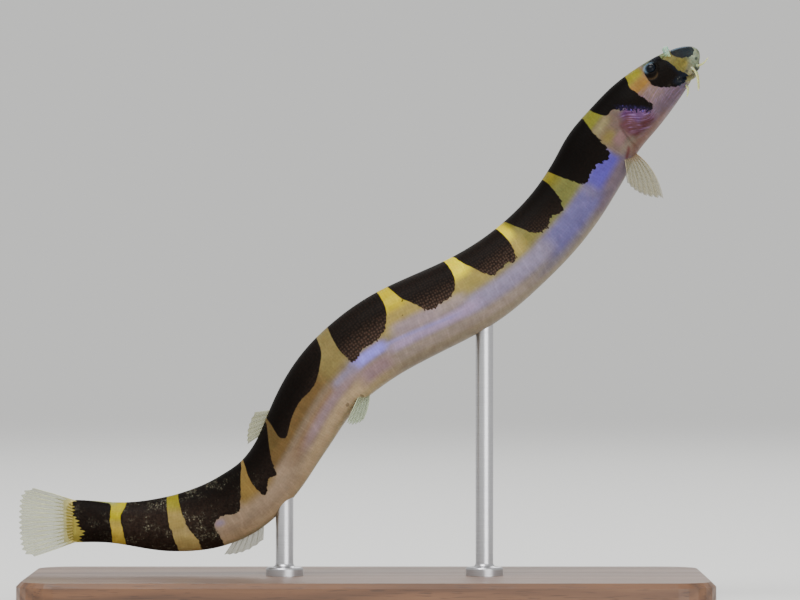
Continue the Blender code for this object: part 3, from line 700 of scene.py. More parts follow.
@dataclass
class Markings:
    """The loach's colours: soft washes, and black saddles over them."""

    ground: Colour = paint(106, 96, 83)
    left_shift: Pair = (0.28, 0.14)
    left_waves: Pair = (1.3, 3.1)
    ragged_high: float = 0.05
    ragged_low: float = 0.34
    ragged_from: float = 2.2
    ragged_over: float = 2.4
    tail_edge: float = 83.0
    tail_teeth: float = 0.36
    tail_tooth_depth: float = 0.19
    washes: tuple[Wash, ...] = (
        # Belly and its lower edge
        Wash(paint(98, 86, 70), (8.0, 20.0, 5.0), (-9.0, -1.9, 1.2)),
        Wash(paint(102, 94, 98), (20.0, 29.0, 4.0), (-9.0, -2.1, 1.0)),
        Wash(paint(127, 113, 103), (29.0, 46.0, 5.0), (-9.0, -1.9, 1.2)),
        Wash(paint(152, 131, 102), (46.0, 90.0, 5.0), (-9.0, -1.7, 1.6)),
        Wash(paint(118, 106, 88), (10.0, 46.0, 6.0), (-9.0, -3.1, 0.6)),
        Wash(paint(137, 121, 90), (46.0, 90.0, 6.0), (-9.0, -3.1, 0.6)),
        # Rear flank between the belly and the saddles
        Wash(paint(110, 88, 66), (49.0, 64.0, 3.0), (-1.6, -0.2, 1.2)),
        Wash(paint(134, 115, 95), (60.0, 72.0, 4.0), (-2.4, 0.0, 1.4)),
        Wash(paint(89, 69, 39), (49.5, 64.0, 2.0), (0.1, 9.0, 0.9)),
        Wash(paint(112, 90, 46), (62.5, 67.0, 1.5), (-0.4, 9.0, 1.4)),
        Wash(paint(80, 64, 34), (57.5, 61.5, 1.5), (1.3, 9.0, 0.8)),
        # Yellow between the saddles, brighter on the back
        Wash(paint(90, 90, 46), (11.0, 24.0, 3.0), (0.0, 9.0, 1.2)),
        Wash(paint(101, 94, 48), (24.0, 31.0, 3.0), (0.1, 9.0, 1.2)),
        Wash(paint(127, 113, 60), (31.0, 39.0, 3.0), (0.0, 9.0, 1.4)),
        Wash(paint(132, 115, 62), (39.0, 46.0, 3.0), (0.0, 9.0, 1.4)),
        Wash(paint(107, 94, 55), (46.0, 51.5, 2.0), (0.2, 9.0, 1.4)),
        Wash(paint(92, 86, 26), (13.0, 30.0, 3.0), (2.2, 9.0, 1.2)),
        Wash(paint(146, 128, 18), (30.0, 46.0, 3.0), (2.2, 9.0, 1.2)),
        Wash(paint(100, 90, 22), (18.0, 46.0, 3.0), (3.3, 9.0, 0.8)),
        Wash(paint(118, 106, 26), (18.8, 21.0, 1.0), (3.0, 9.0, 0.8), 0.8),
        Wash(paint(146, 128, 66), (27.2, 29.4, 1.6), (0.2, 2.4, 1.2), 0.8),
        Wash(paint(198, 180, 12), (27.3, 29.2, 1.0), (2.0, 9.0, 1.2), 0.95),
        Wash(paint(204, 186, 8), (33.6, 37.2, 1.6), (1.9, 9.0, 1.2)),
        Wash(paint(169, 150, 6), (41.0, 45.0, 1.6), (2.0, 9.0, 1.2)),
        # Violet and blue sheen of the lower flank
        Wash(paint(92, 79, 88), (12.9, 20.0, 1.8), (-3.4, -1.8, 0.8)),
        Wash(paint(71, 60, 135), (13.8, 18.2, 1.2), (-1.9, 0.0, 0.9)),
        Wash(paint(86, 80, 120), (18.2, 26.0, 3.0), (-2.5, -0.1, 0.9)),
        Wash(paint(116, 107, 128), (25.5, 36.0, 3.0), (-2.0, -0.3, 0.9)),
        Wash(paint(137, 119, 146), (34.5, 44.5, 3.0), (-1.9, -0.8, 0.7)),
        Wash(paint(126, 110, 112), (38.2, 43.5, 1.5), (-0.9, 0.6, 0.9)),
        Wash(paint(132, 116, 114), (35.5, 39.0, 1.5), (-0.6, 0.5, 0.8), 0.8),
        Wash(paint(122, 114, 158), (37.0, 47.5, 2.5), (-1.5, -1.2, 0.35), 0.85, lean=0.07),
        Wash(paint(123, 101, 103), (45.0, 49.0, 2.0), (-3.0, -1.5, 0.8)),
        Wash(paint(122, 114, 196), (44.8, 48.8, 1.2), (-1.2, -0.2, 0.7)),
        Wash(paint(113, 104, 122), (48.3, 51.5, 1.2), (-1.3, -0.3, 0.7)),
        Wash(paint(123, 103, 105), (49.0, 58.0, 4.0), (-1.8, -0.9, 0.8)),
        Wash(paint(120, 108, 128), (69.2, 70.1, 0.6), (-1.3, -0.7, 0.5), 0.8),
        # Tail
        Wash(paint(136, 118, 66), (72.8, 76.0, 1.2), (-1.2, 9.0, 2.0)),
        Wash(paint(116, 107, 13), (72.8, 76.0, 1.2), (1.3, 9.0, 1.2)),
        Wash(paint(151, 132, 80), (71.5, 76.0, 1.2), (-9.0, -1.0, 1.2)),
        Wash(paint(150, 137, 3), (78.5, 82.0, 1.2), (0.0, 9.0, 1.2)),
        Wash(paint(166, 143, 54), (78.5, 82.0, 1.2), (-9.0, 0.0, 1.2)),
        Wash(paint(140, 128, 56), (83.2, 90.0, 0.5), (-9.0, 9.0, 1.0)),
        Wash(paint(128, 132, 84), (80.4, 84.6, 1.0), (1.75, 9.0, 0.5), 0.85),
        # Cheek, throat and chin
        Wash(paint(84, 69, 77), (3.0, 10.4, 1.2), (-9.0, 0.6, 1.2)),
        Wash(paint(97, 71, 62), (6.6, 12.8, 1.6), (-9.0, -2.0, 0.9)),
        Wash(paint(118, 100, 98), (3.0, 8.0, 2.0), (-9.0, -2.4, 0.8), 0.8),
        Wash(paint(122, 100, 92), (7.5, 13.0, 2.0), (-9.0, -3.1, 0.8), 0.8),
        Wash(paint(100, 96, 72), (-2.0, 3.0, 0.9), (-9.0, 9.0, 1.0)),
        # Nape between the eye and the first saddle
        Wash(paint(98, 80, 75), (5.2, 8.4, 0.8), (-0.6, 9.0, 1.4)),
        Wash(paint(115, 84, 33), (5.6, 8.0, 0.8), (0.9, 9.0, 1.0)),
        Wash(paint(115, 108, 27), (5.6, 8.0, 0.8), (2.2, 9.0, 0.8)),
        # Gill cover and the shoulder behind it
        Wash(paint(89, 73, 66), (10.2, 13.8, 1.0), (-1.6, 9.0, 1.4)),
        Wash(paint(118, 110, 72), (11.2, 13.8, 1.4), (1.2, 2.0, 1.0), 0.8),
        Wash(paint(100, 98, 29), (11.0, 13.8, 0.8), (2.1, 9.0, 0.6)),
        Wash(paint(104, 92, 46), (12.0, 13.6, 1.2), (-0.3, 0.9, 1.2), 0.9),
        Wash(paint(106, 81, 80), (11.2, 12.8, 0.8), (-1.2, -0.2, 0.6)),
        Wash(paint(66, 36, 69), (7.6, 10.4, 1.0), (-1.1, 1.0, 0.8)),
        Wash(paint(80, 51, 85), (8.2, 9.4, 0.6), (-0.7, 0.2, 0.5)),
        Wash(paint(66, 35, 38), (7.8, 11.0, 1.0), (-1.9, -1.0, 0.6)),
        Wash(paint(77, 46, 50), (9.6, 11.2, 0.6), (-1.3, 0.3, 0.8)),
        Wash(paint(76, 36, 36), (12.2, 13.6, 0.4), (-2.0, -1.75, 0.35), lean=-0.36),
        # Snout
        Wash(paint(96, 104, 84), (-2.0, 1.5, 1.2), (-9.0, 9.0, 1.0), 0.95),
        Wash(paint(134, 142, 120), (0.3, 1.1, 0.5), (-0.7, 0.5, 0.6), 0.7),
        Wash(paint(92, 84, 38), (1.4, 3.3, 0.8), (-0.2, 9.0, 0.45), lean=-0.5),
        Wash(paint(108, 104, 62), (2.3, 3.1, 0.5), (-1.9, -0.9, 0.5), 0.7),
        Wash(paint(70, 68, 84), (3.2, 4.0, 0.4), (-1.8, -1.0, 0.5), 0.6),
        Wash(paint(62, 72, 50), (3.4, 5.2, 0.5), (2.3, 9.0, 0.6), 0.85),
        Wash(paint(88, 104, 66), (2.3, 3.3, 0.6), (1.8, 9.0, 0.6), 0.8),
    )
    saddles: tuple[Saddle, ...] = (
        Saddle(((2.2, 1.85), (1.5, 1.95), (1.3, OVER_BACK), (0.05, OVER_BACK), (0.15, 0.5), (0.35, 0.12),
                (0.9, -0.06), (1.35, 0.22), (1.8, 0.62), (2.25, 1.4)), ragged=0.4, depth=0.93),
        Saddle(((1.2, -1.14), (1.38, -0.92), (1.58, -1.14), (1.38, -1.36)), ragged=0.3, depth=0.75),
        Saddle(((2.1, -0.79), (2.3, -0.6), (2.5, -0.8), (2.3, -1.0)), ragged=0.3, depth=0.6),
        Saddle(((0.5, -0.5), (0.72, -0.3), (0.92, -0.5), (0.72, -0.72)), ragged=0.3, depth=0.7),
        Saddle(((3.1, 2.3), (3.35, 1.9), (2.95, 1.4), (2.85, 0.6), (2.65, -0.3), (2.35, -1.0),
                (2.7, -1.35), (3.9, -1.35), (5.1, -0.35), (5.8, 0.6), (5.7, 1.5), (5.5, 2.3), (4.2, 2.7)),
                ragged=0.6),
        Saddle(((7.0, OVER_BACK), (7.2, 2.8), (7.7, 2.2), (7.5, 1.3), (7.2, -0.1), (7.2, -1.2),
                (7.9, -0.9), (8.5, -0.2), (9.9, 1.0), (10.4, 1.9), (11.2, 1.7), (11.6, 2.4), (11.9, 3.4),
                (12.0, OVER_BACK)), ragged=0.7),
        Saddle(((12.6, OVER_BACK), (12.8, 3.4), (13.3, 2.0), (13.6, 0.4), (14.0, -0.7), (14.8, -1.0),
                (15.5, -0.5), (16.2, -0.1), (17.2, -0.1), (18.1, -0.4), (18.6, 0.5), (18.9, 1.7),
                (19.1, 2.9), (19.4, OVER_BACK))),
        Saddle(((20.1, OVER_BACK), (20.3, 3.2), (20.6, 2.2), (21.0, 1.1), (21.6, 0.1), (22.4, 0.2),
                (23.1, 0.7), (23.9, 0.3), (25.2, 0.2), (25.9, 1.1), (26.3, 2.1), (26.8, 3.1),
                (27.3, OVER_BACK))),
        Saddle(((28.2, OVER_BACK), (28.2, 2.6), (28.4, 1.3), (29.0, -0.1), (30.0, 0.4), (31.1, 0.3),
                (32.2, 0.2), (32.8, 1.2), (33.2, 2.0), (33.9, 2.9), (34.7, OVER_BACK))),
        Saddle(((35.5, OVER_BACK), (35.3, 3.3), (35.5, 1.9), (36.1, 0.9), (37.0, 0.5), (38.1, 0.4),
                (39.3, 0.1), (40.1, 1.1), (40.6, 1.8), (41.4, 2.7), (42.2, OVER_BACK))),
        Saddle(((43.0, OVER_BACK), (42.8, 3.2), (43.1, 1.9), (43.8, 0.8), (44.7, 0.1), (46.0, 0.0),
                (46.8, 0.3), (47.8, -0.3), (48.6, -0.3), (48.7, 0.8), (48.6, 2.0), (48.4, 3.0),
                (47.7, OVER_BACK))),
        Saddle(((49.0, OVER_BACK), (49.6, 3.1), (50.3, 2.2), (52.0, 1.15), (53.2, 1.0), (54.4, 1.4),
                (55.5, 1.4), (56.5, 1.3), (57.5, 1.0), (58.5, 0.8), (58.8, 1.4), (58.4, 2.2), (57.9, 3.1),
                (57.5, OVER_BACK)), ragged=0.35),
        Saddle(((57.9, OVER_BACK), (58.1, 3.4), (58.9, 2.8), (60.7, 1.5), (61.7, 0.3), (62.2, -0.5),
                (62.8, 0.15), (63.5, -0.3), (64.4, -1.1), (64.6, -0.4), (64.6, 0.8), (64.3, 1.9),
                (63.7, 2.8), (63.0, OVER_BACK)), ragged=0.5),
        Saddle(((63.3, OVER_BACK), (63.9, 3.1), (65.2, 2.2), (66.8, 0.1), (67.4, -0.9), (69.2, -0.3),
                (70.2, -0.8), (70.2, -1.6), (70.0, -2.6), (70.5, UNDER_BELLY), (72.1, UNDER_BELLY),
                (72.0, -2.9), (72.2, -1.9), (72.9, -0.7), (73.2, 0.6), (73.5, 2.0), (73.9, OVER_BACK)),
                ragged=0.45),
        Saddle(((74.9, OVER_BACK), (74.9, 1.7), (74.8, 0.0), (74.5, -1.2), (74.2, -2.7),
                (74.2, UNDER_BELLY), (79.1, UNDER_BELLY), (79.1, -2.3), (79.5, -1.0), (79.9, 0.4),
                (79.8, 1.1), (79.3, 1.9), (79.2, OVER_BACK)), ragged=0.4),
        Saddle(((81.0, 1.9), (80.9, 1.3), (81.0, 0.2), (80.6, -1.3), (80.5, UNDER_BELLY),
                (84.2, UNDER_BELLY), (84.0, -1.8), (83.7, -1.05), (84.1, -0.5), (84.5, 0.2), (84.8, 1.2),
                (84.9, 2.3), (82.8, 2.1), (81.4, 1.95)), ragged=0.3),
        Saddle(((41.2, 2.3), (41.3, 2.4), (41.4, 2.3), (41.3, 2.2)), ragged=0.1),
        Saddle(((41.8, 1.0), (41.9, 1.1), (42.0, 1.0), (41.9, 0.9)), ragged=0.1),
        Saddle(((50.0, -3.3), (50.3, -3.1), (50.7, -3.3), (50.3, -3.5)), ragged=0.5, depth=0.45),
        Saddle(((51.9, -2.8), (52.2, -2.6), (52.6, -2.8), (52.2, -3.0)), ragged=0.5, depth=0.45),
    )

    def placed(self, distance: Array, phi: Array) -> Array:
        """Distances shifted a little on the left flank, so that its saddles aren't a mirror image.

        Args:
            distance: Distances behind the snout.
            phi: Turns round the body.

        Returns:
            The distances at which the markings are read.
        """
        pairs = zip(self.left_shift, self.left_waves)
        waves = sum(size * np.sin(rate * distance + rate) for size, rate in pairs)
        return distance + waves * ease(-np.sin(phi) * 1.5) * ease((distance - 6.0) / 6.0)

    def ground_colour(self, distance: Array, height: Array) -> Array:
        """The soft colours under the saddles.

        Args:
            distance: Distances behind the snout.
            height: Heights over the spine.

        Returns:
            One linear colour for each place.
        """
        colour = np.broadcast_to(np.array(self.ground), (*distance.shape, 3)).copy()
        for wash in self.washes:
            cover = wash.mask(distance, height)[..., None]
            colour = colour * (1.0 - cover) + np.array(wash.colour) * cover
        return colour

    def darkness(self, distance: Array, height: Array) -> tuple[Array, Array, Array]:
        """Where the saddles lie.

        Args:
            distance: Distances behind the snout.
            height: Heights over the spine.

        Returns:
            Millimetres inside the nearest saddle, its ragged width, and how dark it is.
        """
        inside = np.full(distance.shape, -9.0)
        ragged = np.zeros(distance.shape)
        depth = np.ones(distance.shape)
        low = ease((self.ragged_from - height) / self.ragged_over)
        for saddle in self.saddles:
            here = saddle.inside(distance, height)
            nearer = here > inside
            inside = np.where(nearer, here, inside)
            ragged = np.where(nearer, saddle.ragged * (self.ragged_high + self.ragged_low * low), ragged)
            depth = np.where(nearer, saddle.depth, depth)
        teeth = np.sin(2 * math.pi * height / self.tail_teeth) + 0.6 * np.sin(5.1 * height + 0.8)
        teeth = self.tail_tooth_depth * teeth * ease((distance - self.tail_edge) / 0.4)
        return inside - teeth, ragged, depth


class Palette:
    """Short calls for building one material's nodes."""

    def __init__(self, name: str) -> None:
        """Starts a material with an empty Principled shader.

        Args:
            name: Name of the material.
        """
        self.material = bpy.data.materials.new(name)
        self.material.use_nodes = True
        self.nodes = self.material.node_tree.nodes
        self.shader = self.nodes["Principled BSDF"]

    def link(self, source: Socket, target: Socket) -> None:
        """Joins two sockets."""
        self.material.node_tree.links.new(source, target)

    def feed(self, target: Socket, value: object) -> None:
        """Links a socket, or sets its constant.

        Args:
            target: The socket to feed.
            value: A socket, a number, or a colour or vector.
        """
        if isinstance(value, Socket):
            self.link(value, target)
        elif isinstance(value, tuple) and len(value) == 3 and target.type == "RGBA":
            target.default_value = (*value, 1.0)
        else:
            target.default_value = value

    def set(self, **values: object) -> None:
        """Sets or links the shader's own sockets, named with underscores for spaces.

        Args:
            values: Socket names and what feeds them.
        """
        sockets = {socket.name.lower().replace(" ", "_"): socket for socket in self.shader.inputs}
        for name, value in values.items():
            self.feed(sockets[name], value)

    def grey(self, value: Socket) -> Socket:
        """A value as a grey colour."""
        node = self.nodes.new("ShaderNodeCombineColor")
        for socket in node.inputs:
            self.link(value, socket)
        return node.outputs[0]

    def stretched(self, vector: Socket, scale: Triple) -> Socket:
        """A vector stretched along its three parts."""
        mapping = self.nodes.new("ShaderNodeMapping")
        mapping.inputs["Scale"].default_value = scale
        self.link(vector, mapping.inputs["Vector"])
        return mapping.outputs["Vector"]

    def attribute(self, name: str, output: str = "Fac") -> Socket:
        """A named attribute of the mesh."""
        node = self.nodes.new("ShaderNodeAttribute")
        node.attribute_name = name
        return node.outputs[output]

    def place(self, scale: Triple = (1.0, 1.0, 1.0)) -> Socket:
        """Object coordinates, stretched.

        Args:
            scale: Factors along X, Y and Z.

        Returns:
            The vector socket.
        """
        return self.stretched(self.nodes.new("ShaderNodeTexCoord").outputs["Object"], scale)

    def math(self, operation: str, first: object, second: object = 0.0) -> Socket:
        """One sum of two values.

        Args:
            operation: Blender's name of the sum.
            first: First value or socket.
            second: Second value or socket.

        Returns:
            The result's socket.
        """
        node = self.nodes.new("ShaderNodeMath")
        node.operation = operation
        self.feed(node.inputs[0], first)
        self.feed(node.inputs[1], second)
        return node.outputs[0]

    def times(self, first: object, second: object) -> Socket:
        """One value times another."""
        return self.math("MULTIPLY", first, second)

    def plus(self, first: object, second: object) -> Socket:
        """Two values added."""
        return self.math("ADD", first, second)

    def minus(self, first: object, second: object) -> Socket:
        """The first value less the second."""
        return self.math("SUBTRACT", first, second)

    def spread(self, value: object, low: float, high: float, first: float = 0.0,
               last: float = 1.0) -> Socket:
        """Maps one range of a value smoothly to another.

        Args:
            value: The value's socket.
            low: Start of the range that is read.
            high: End of the range that is read.
            first: What the start becomes.
            last: What the end becomes.

        Returns:
            The mapped value's socket.
        """
        node = self.nodes.new("ShaderNodeMapRange")
        node.interpolation_type = "SMOOTHSTEP"
        names = ("Value", "From Min", "From Max", "To Min", "To Max")
        for name, item in zip(names, (value, low, high, first, last)):
            self.feed(node.inputs[name], item)
        return node.outputs["Result"]

    def mix(self, factor: object, first: object, second: object, blend: str = "MIX") -> Socket:
        """Mixes two colours.

        Args:
            factor: Share of the second colour.
            first: First colour or socket.
            second: Second colour or socket.
            blend: Blender's name of the way to mix.

        Returns:
            The mixed colour's socket.
        """
        node = self.nodes.new("ShaderNodeMix")
        node.data_type = "RGBA"
        node.blend_type = blend
        self.feed(node.inputs["Factor"], factor)
        self.feed(node.inputs[6], first)
        self.feed(node.inputs[7], second)
        return node.outputs[2]

    def noise(self, vector: Socket, scale: float, detail: float = 3.0,
              roughness: float = 0.5) -> Socket:
        """Cloudy noise.

        Args:
            vector: Where it is read.
            scale: How fine it is.
            detail: Layers of finer noise.
            roughness: How strong the finer layers are.

        Returns:
            The noise's value socket.
        """
        node = self.nodes.new("ShaderNodeTexNoise")
        self.link(vector, node.inputs["Vector"])
        for name, value in zip(("Scale", "Detail", "Roughness"), (scale, detail, roughness)):
            node.inputs[name].default_value = value
        return node.outputs["Fac"]

    def cells(self, vector: Socket, scale: float, random: float = 1.0,
              flat: bool = False) -> bpy.types.Node:
        """Cells such as scales.

        Args:
            vector: Where they are read.
            scale: How fine they are.
            random: How uneven they are, from 0 to 1.
            flat: Whether only the first two coordinates count.

        Returns:
            The node, with its distance and colour sockets.
        """
        node = self.nodes.new("ShaderNodeTexVoronoi")
        node.voronoi_dimensions = "2D" if flat else "3D"
        self.link(vector, node.inputs["Vector"])
        node.inputs["Scale"].default_value = scale
        node.inputs["Randomness"].default_value = random
        return node

    def bump(self, height: Socket, distance: float, strength: float = 1.0,
             after: Socket | None = None) -> Socket:
        """Turns a height into a bumpy normal.

        Args:
            height: The height's socket.
            distance: Height in millimetres of a step of one.
            strength: Strength of the bump.
            after: A normal that this bump is added to.

        Returns:
            The normal's socket.
        """
        node = self.nodes.new("ShaderNodeBump")
        node.inputs["Distance"].default_value = distance * MM
        node.inputs["Strength"].default_value = strength
        self.link(height, node.inputs["Height"])
        if after is not None:
            self.link(after, node.inputs["Normal"])
        return node.outputs["Normal"]


@dataclass(frozen=True)
class SkinFinish:
    """Wet, finely scaled skin with ragged black saddles."""

    black: Colour = paint(6, 4, 3)
    umber: Colour = paint(44, 34, 28)
    brown: Colour = paint(76, 58, 48)
    navy: Colour = paint(16, 22, 32)
    speck: Colour = paint(134, 130, 108)
    violet: Colour = paint(84, 68, 150)
    streak: Colour = paint(152, 120, 170)
    # Blue-grey of the pale arc over each eye, also the painted highlight along the crest of the snout
    sheen: Colour = paint(104, 128, 148)
    fold: Colour = paint(84, 66, 42)
    scale_size: float = 0.29
    fleck_size: float = 0.27
    tooth: Triple = (3.4, 1.5, 1.5)
    edge: float = 0.05
    roughness: float = 0.42
    gloss: float = 0.08
    saddle_roughness: float = 0.52
    saddle_gloss: float = 0.035
    fray: float = 2.2
    fray_size: float = 6.0
    # How far the fine lines of the cheek and the flank are drawn out
    streak_grain: Triple = (0.7, 6.4, 0.7)
    line_grain: Triple = (5.0, 0.7, 0.7)
    segment: float = 0.95
    segment_lean: float = 0.3
    segment_light: float = 0.13

    def streaks(self, palette: Palette) -> Socket:
        """Fine pale lines that run from the gill cover up the cheek.

        Args:
            palette: The skin's material.

        Returns:
            Strength of the lines.
        """
        flow = palette.stretched(palette.attribute("flow", "Vector"), self.streak_grain)
        lines = palette.spread(palette.noise(flow, 1.0, 2.0, 0.55), 0.44, 0.68)
        patches = palette.noise(palette.attribute("coat", "Vector"), 0.9, 2.0)
        patches = palette.spread(patches, 0.36, 0.62, 0.25, 1.0)
        return palette.times(palette.times(lines, patches), palette.attribute("streaked"))

    def tone(self, palette: Palette, coat: Socket, dot: Socket) -> Socket:
        """Light and dark of the ground: soft mottling, scale dots and fine lines across the flank.

        Args:
            palette: The skin's material.
            coat: Place on the straightened body.
            dot: Dots, one to a scale.

        Returns:
            Factor for the ground colour.
        """
        mottle = palette.spread(palette.noise(coat, 1.1, 5.0, 0.62), 0.3, 0.7, 0.88, 1.1)
        blotch = palette.spread(palette.noise(coat, 2.0, 2.5, 0.6), 0.34, 0.68, -0.24, 0.22)
        blotch = palette.plus(palette.times(blotch, palette.attribute("mottled")), 1.0)
        mottle = palette.times(mottle, blotch)
        grain = palette.spread(dot, 0.0, 1.0, 1.03, 0.94)
        parts = palette.nodes.new("ShaderNodeSeparateXYZ")
        palette.link(coat, parts.inputs[0])
        lean = palette.times(parts.outputs[2], self.segment_lean)
        along = palette.plus(palette.plus(parts.outputs[0], lean), palette.noise(coat, 0.8, 3.0))
        wave = palette.math("SINE", palette.times(along, 2 * math.pi / self.segment))
        lines = palette.spread(wave, 0.7, 1.0, 0.0, self.segment_light)
        lines = palette.times(lines, palette.spread(palette.noise(coat, 0.9, 3.0), 0.35, 0.65))
        fine = palette.noise(palette.stretched(coat, self.line_grain), 1.0, 2.0)
        fine = palette.spread(fine, 0.3, 0.72, 0.97, 1.05)
        return palette.times(palette.times(mottle, grain), palette.plus(fine, lines))

    def flecks(self, palette: Palette, coat: Socket) -> Socket:
        """Small pale flecks of uneven size, strewn at random.

        Args:
            palette: The skin's material.
            coat: Place on the straightened body.

        Returns:
            Strength of the flecks.
        """
        cells = palette.cells(coat, 1.0 / self.fleck_size, 1.0)
        chance = palette.nodes.new("ShaderNodeSeparateColor")
        palette.link(cells.outputs["Color"], chance.inputs["Color"])
        dots = palette.spread(cells.outputs["Distance"], 0.06, 0.42, 1.0, 0.0)
        dots = palette.times(dots, palette.spread(chance.outputs[0], 0.25, 0.95))
        haze = palette.spread(palette.noise(coat, 4.5, 3.0, 0.6), 0.45, 0.75, 0.0, 0.4)
        return palette.math("MAXIMUM", dots, haze)

    def dark(self, palette: Palette, coat: Socket, dot: Socket) -> Socket:
        """Colour of the saddles: black, browner low down, navy on the head, flecked on the tail.

        Args:
            palette: The skin's material.
            coat: Place on the straightened body.
            dot: Dots, one to a scale.

        Returns:
            The colour's socket.
        """
        cloud = palette.spread(palette.noise(coat, 4.0, 3.0, 0.6), 0.3, 0.7, 0.45, 1.0)
        flank = palette.times(palette.attribute("flank"), cloud)
        dots = palette.times(palette.attribute("dotted"), palette.spread(dot, 0.3, 1.0, 0.0, 0.8))
        dark = palette.mix(dots, palette.mix(flank, self.black, self.umber), self.brown)
        dark = palette.mix(palette.attribute("cool"), dark, self.navy)
        flecks = self.flecks(palette, coat)
        tint = palette.times(palette.spread(flecks, 0.05, 0.7, 0.06, 0.9), palette.attribute("violet"))
        dark = palette.mix(tint, dark, self.violet)
        patches = palette.spread(palette.noise(coat, 0.75, 4.0, 0.6), 0.47, 0.64)
        patches = palette.times(patches, palette.attribute("flecked"))
        return palette.mix(palette.times(flecks, patches), dark, self.speck)

    def make(self) -> Material:
        """Builds the material."""
        palette = Palette("loach_skin")
        coat = palette.attribute("coat", "Vector")
        scales = palette.cells(palette.attribute("mesh", "Vector"), 1.0 / self.scale_size, 0.4, flat=True)
        dot = palette.spread(scales.outputs["Distance"], 0.0, 0.72, 1.0, 0.0)

        wander = palette.minus(palette.noise(coat, 2.2, 4.0, 0.6), 0.5)
        teeth = palette.minus(palette.noise(palette.stretched(coat, self.tooth), 1.0, 1.0), 0.5)
        jag = palette.plus(palette.times(teeth, 2.0), palette.times(wander, 0.8))
        jag = palette.times(jag, palette.attribute("ragged"))
        fray = palette.minus(palette.noise(coat, self.fray_size, 2.0, 0.55), 0.5)
        fray = palette.times(fray, palette.times(palette.attribute("violet"), self.fray))
        border = palette.plus(palette.plus(palette.attribute("inside"), jag), fray)
        cover = palette.spread(border, -self.edge, self.edge)
        cover = palette.times(cover, palette.attribute("depth"))

        ground = palette.attribute("ground", "Color")
        ground = palette.mix(1.0, ground, palette.grey(self.tone(palette, coat, dot)), "MULTIPLY")
        ground = palette.mix(self.streaks(palette), ground, self.streak)
        colour = palette.mix(cover, ground, self.dark(palette, coat, dot))
        # Pale arc over each eye, and a painted grazing highlight along the crest of the snout
        colour = palette.mix(palette.attribute("pale"), colour, self.sheen)
        colour = palette.mix(palette.attribute("fold"), colour, self.fold)

        roughness = palette.spread(cover, 0.0, 1.0, self.roughness, self.saddle_roughness)
        palette.set(base_color=colour, roughness=roughness)
        palette.set(specular_ior_level=palette.spread(cover, 0.0, 1.0, self.gloss, self.saddle_gloss))
        palette.set(subsurface_weight=0.1, subsurface_scale=0.3 * MM)
        normal = palette.bump(scales.outputs["Distance"], 0.02, 0.5)
        normal = palette.bump(palette.noise(coat, 3.0, 4.0), 0.02, 0.5, normal)
        palette.set(normal=normal)
        return palette.material


@dataclass(frozen=True)
class EyeFinish:
    """Glossy eye: a wide dark pupil in a thin blue-grey iris that shows most above."""

    pupil: Colour = paint(6, 10, 18)
    iris: Colour = paint(96, 128, 160)
    pupil_edge: float = 0.86

    def make(self) -> Material:
        """Builds the material."""
        palette = Palette("loach_eye")
        ring = palette.attribute("ring")
        above = palette.attribute("above")
        rim = palette.spread(ring, self.pupil_edge, self.pupil_edge + 0.1)
        bright = palette.spread(above, 0.1, 0.95, 0.02, 0.8)
        palette.set(base_color=palette.mix(palette.times(rim, bright), self.pupil, self.iris))
        palette.set(roughness=0.3, specular_ior_level=0.1)
        return palette.material


@dataclass(frozen=True)
class MembraneFinish:
    """Clear fin membrane, tinted and thicker towards its root."""

    name: str
    web: Colour = paint(140, 140, 102)
    root: Colour = paint(136, 122, 70)
    clear: float = 0.5
    root_clear: float = 0.8
    root_reach: float = 0.35

    def make(self) -> Material:
        """Builds the material."""
        palette = Palette(self.name)
        reach = palette.attribute("reach")
        near = palette.spread(reach, 0.0, self.root_reach, 1.0, 0.0)
        cloud = palette.noise(palette.place(), 1400.0, 3.0)
        near = palette.times(near, palette.spread(cloud, 0.2, 0.8, 0.75, 1.2))
        palette.set(base_color=palette.mix(near, self.web, self.root), roughness=0.35, specular_ior_level=0.3)
        palette.set(alpha=palette.spread(near, 0.0, 1.0, self.clear, self.root_clear))
        palette.set(normal=palette.bump(cloud, 0.004, 0.2))
        return palette.material


@dataclass(frozen=True)
class RayFinish:
    """Pale fin rays, tinted at the root."""

    name: str
    tip: Colour = paint(172, 172, 138)
    root: Colour = paint(158, 144, 90)
    root_reach: float = 0.4

    def make(self) -> Material:
        """Builds the material."""
        palette = Palette(self.name)
        near = palette.spread(palette.attribute("reach"), 0.0, self.root_reach, 1.0, 0.0)
        cloud = palette.noise(palette.place(), 2600.0, 2.0)
        tone = palette.grey(palette.spread(cloud, 0.2, 0.8, 0.9, 1.08))
        palette.set(base_color=palette.mix(1.0, palette.mix(near, self.tip, self.root), tone, "MULTIPLY"))
        palette.set(roughness=0.4, specular_ior_level=0.3)
        return palette.material


@dataclass(frozen=True)
class BarbelFinish:
    """Soft pale barbel skin, pinker at the root."""

    name: str = "loach_barbels"
    root: Colour = paint(128, 136, 108)
    tip: Colour = paint(182, 188, 118)

    def make(self) -> Material:
        """Builds the material."""
        palette = Palette(self.name)
        along = palette.spread(palette.attribute("reach"), 0.0, 0.7)
        cloud = palette.noise(palette.place(), 3000.0, 3.0)
        tone = palette.grey(palette.spread(cloud, 0.25, 0.75, 0.86, 1.1))
        palette.set(base_color=palette.mix(1.0, palette.mix(along, self.root, self.tip), tone, "MULTIPLY"))
        palette.set(roughness=0.42, coat_weight=0.2, coat_roughness=0.25)
        palette.set(subsurface_weight=0.3, subsurface_scale=0.3 * MM)
        palette.set(normal=palette.bump(cloud, 0.015, 0.5))
        return palette.material


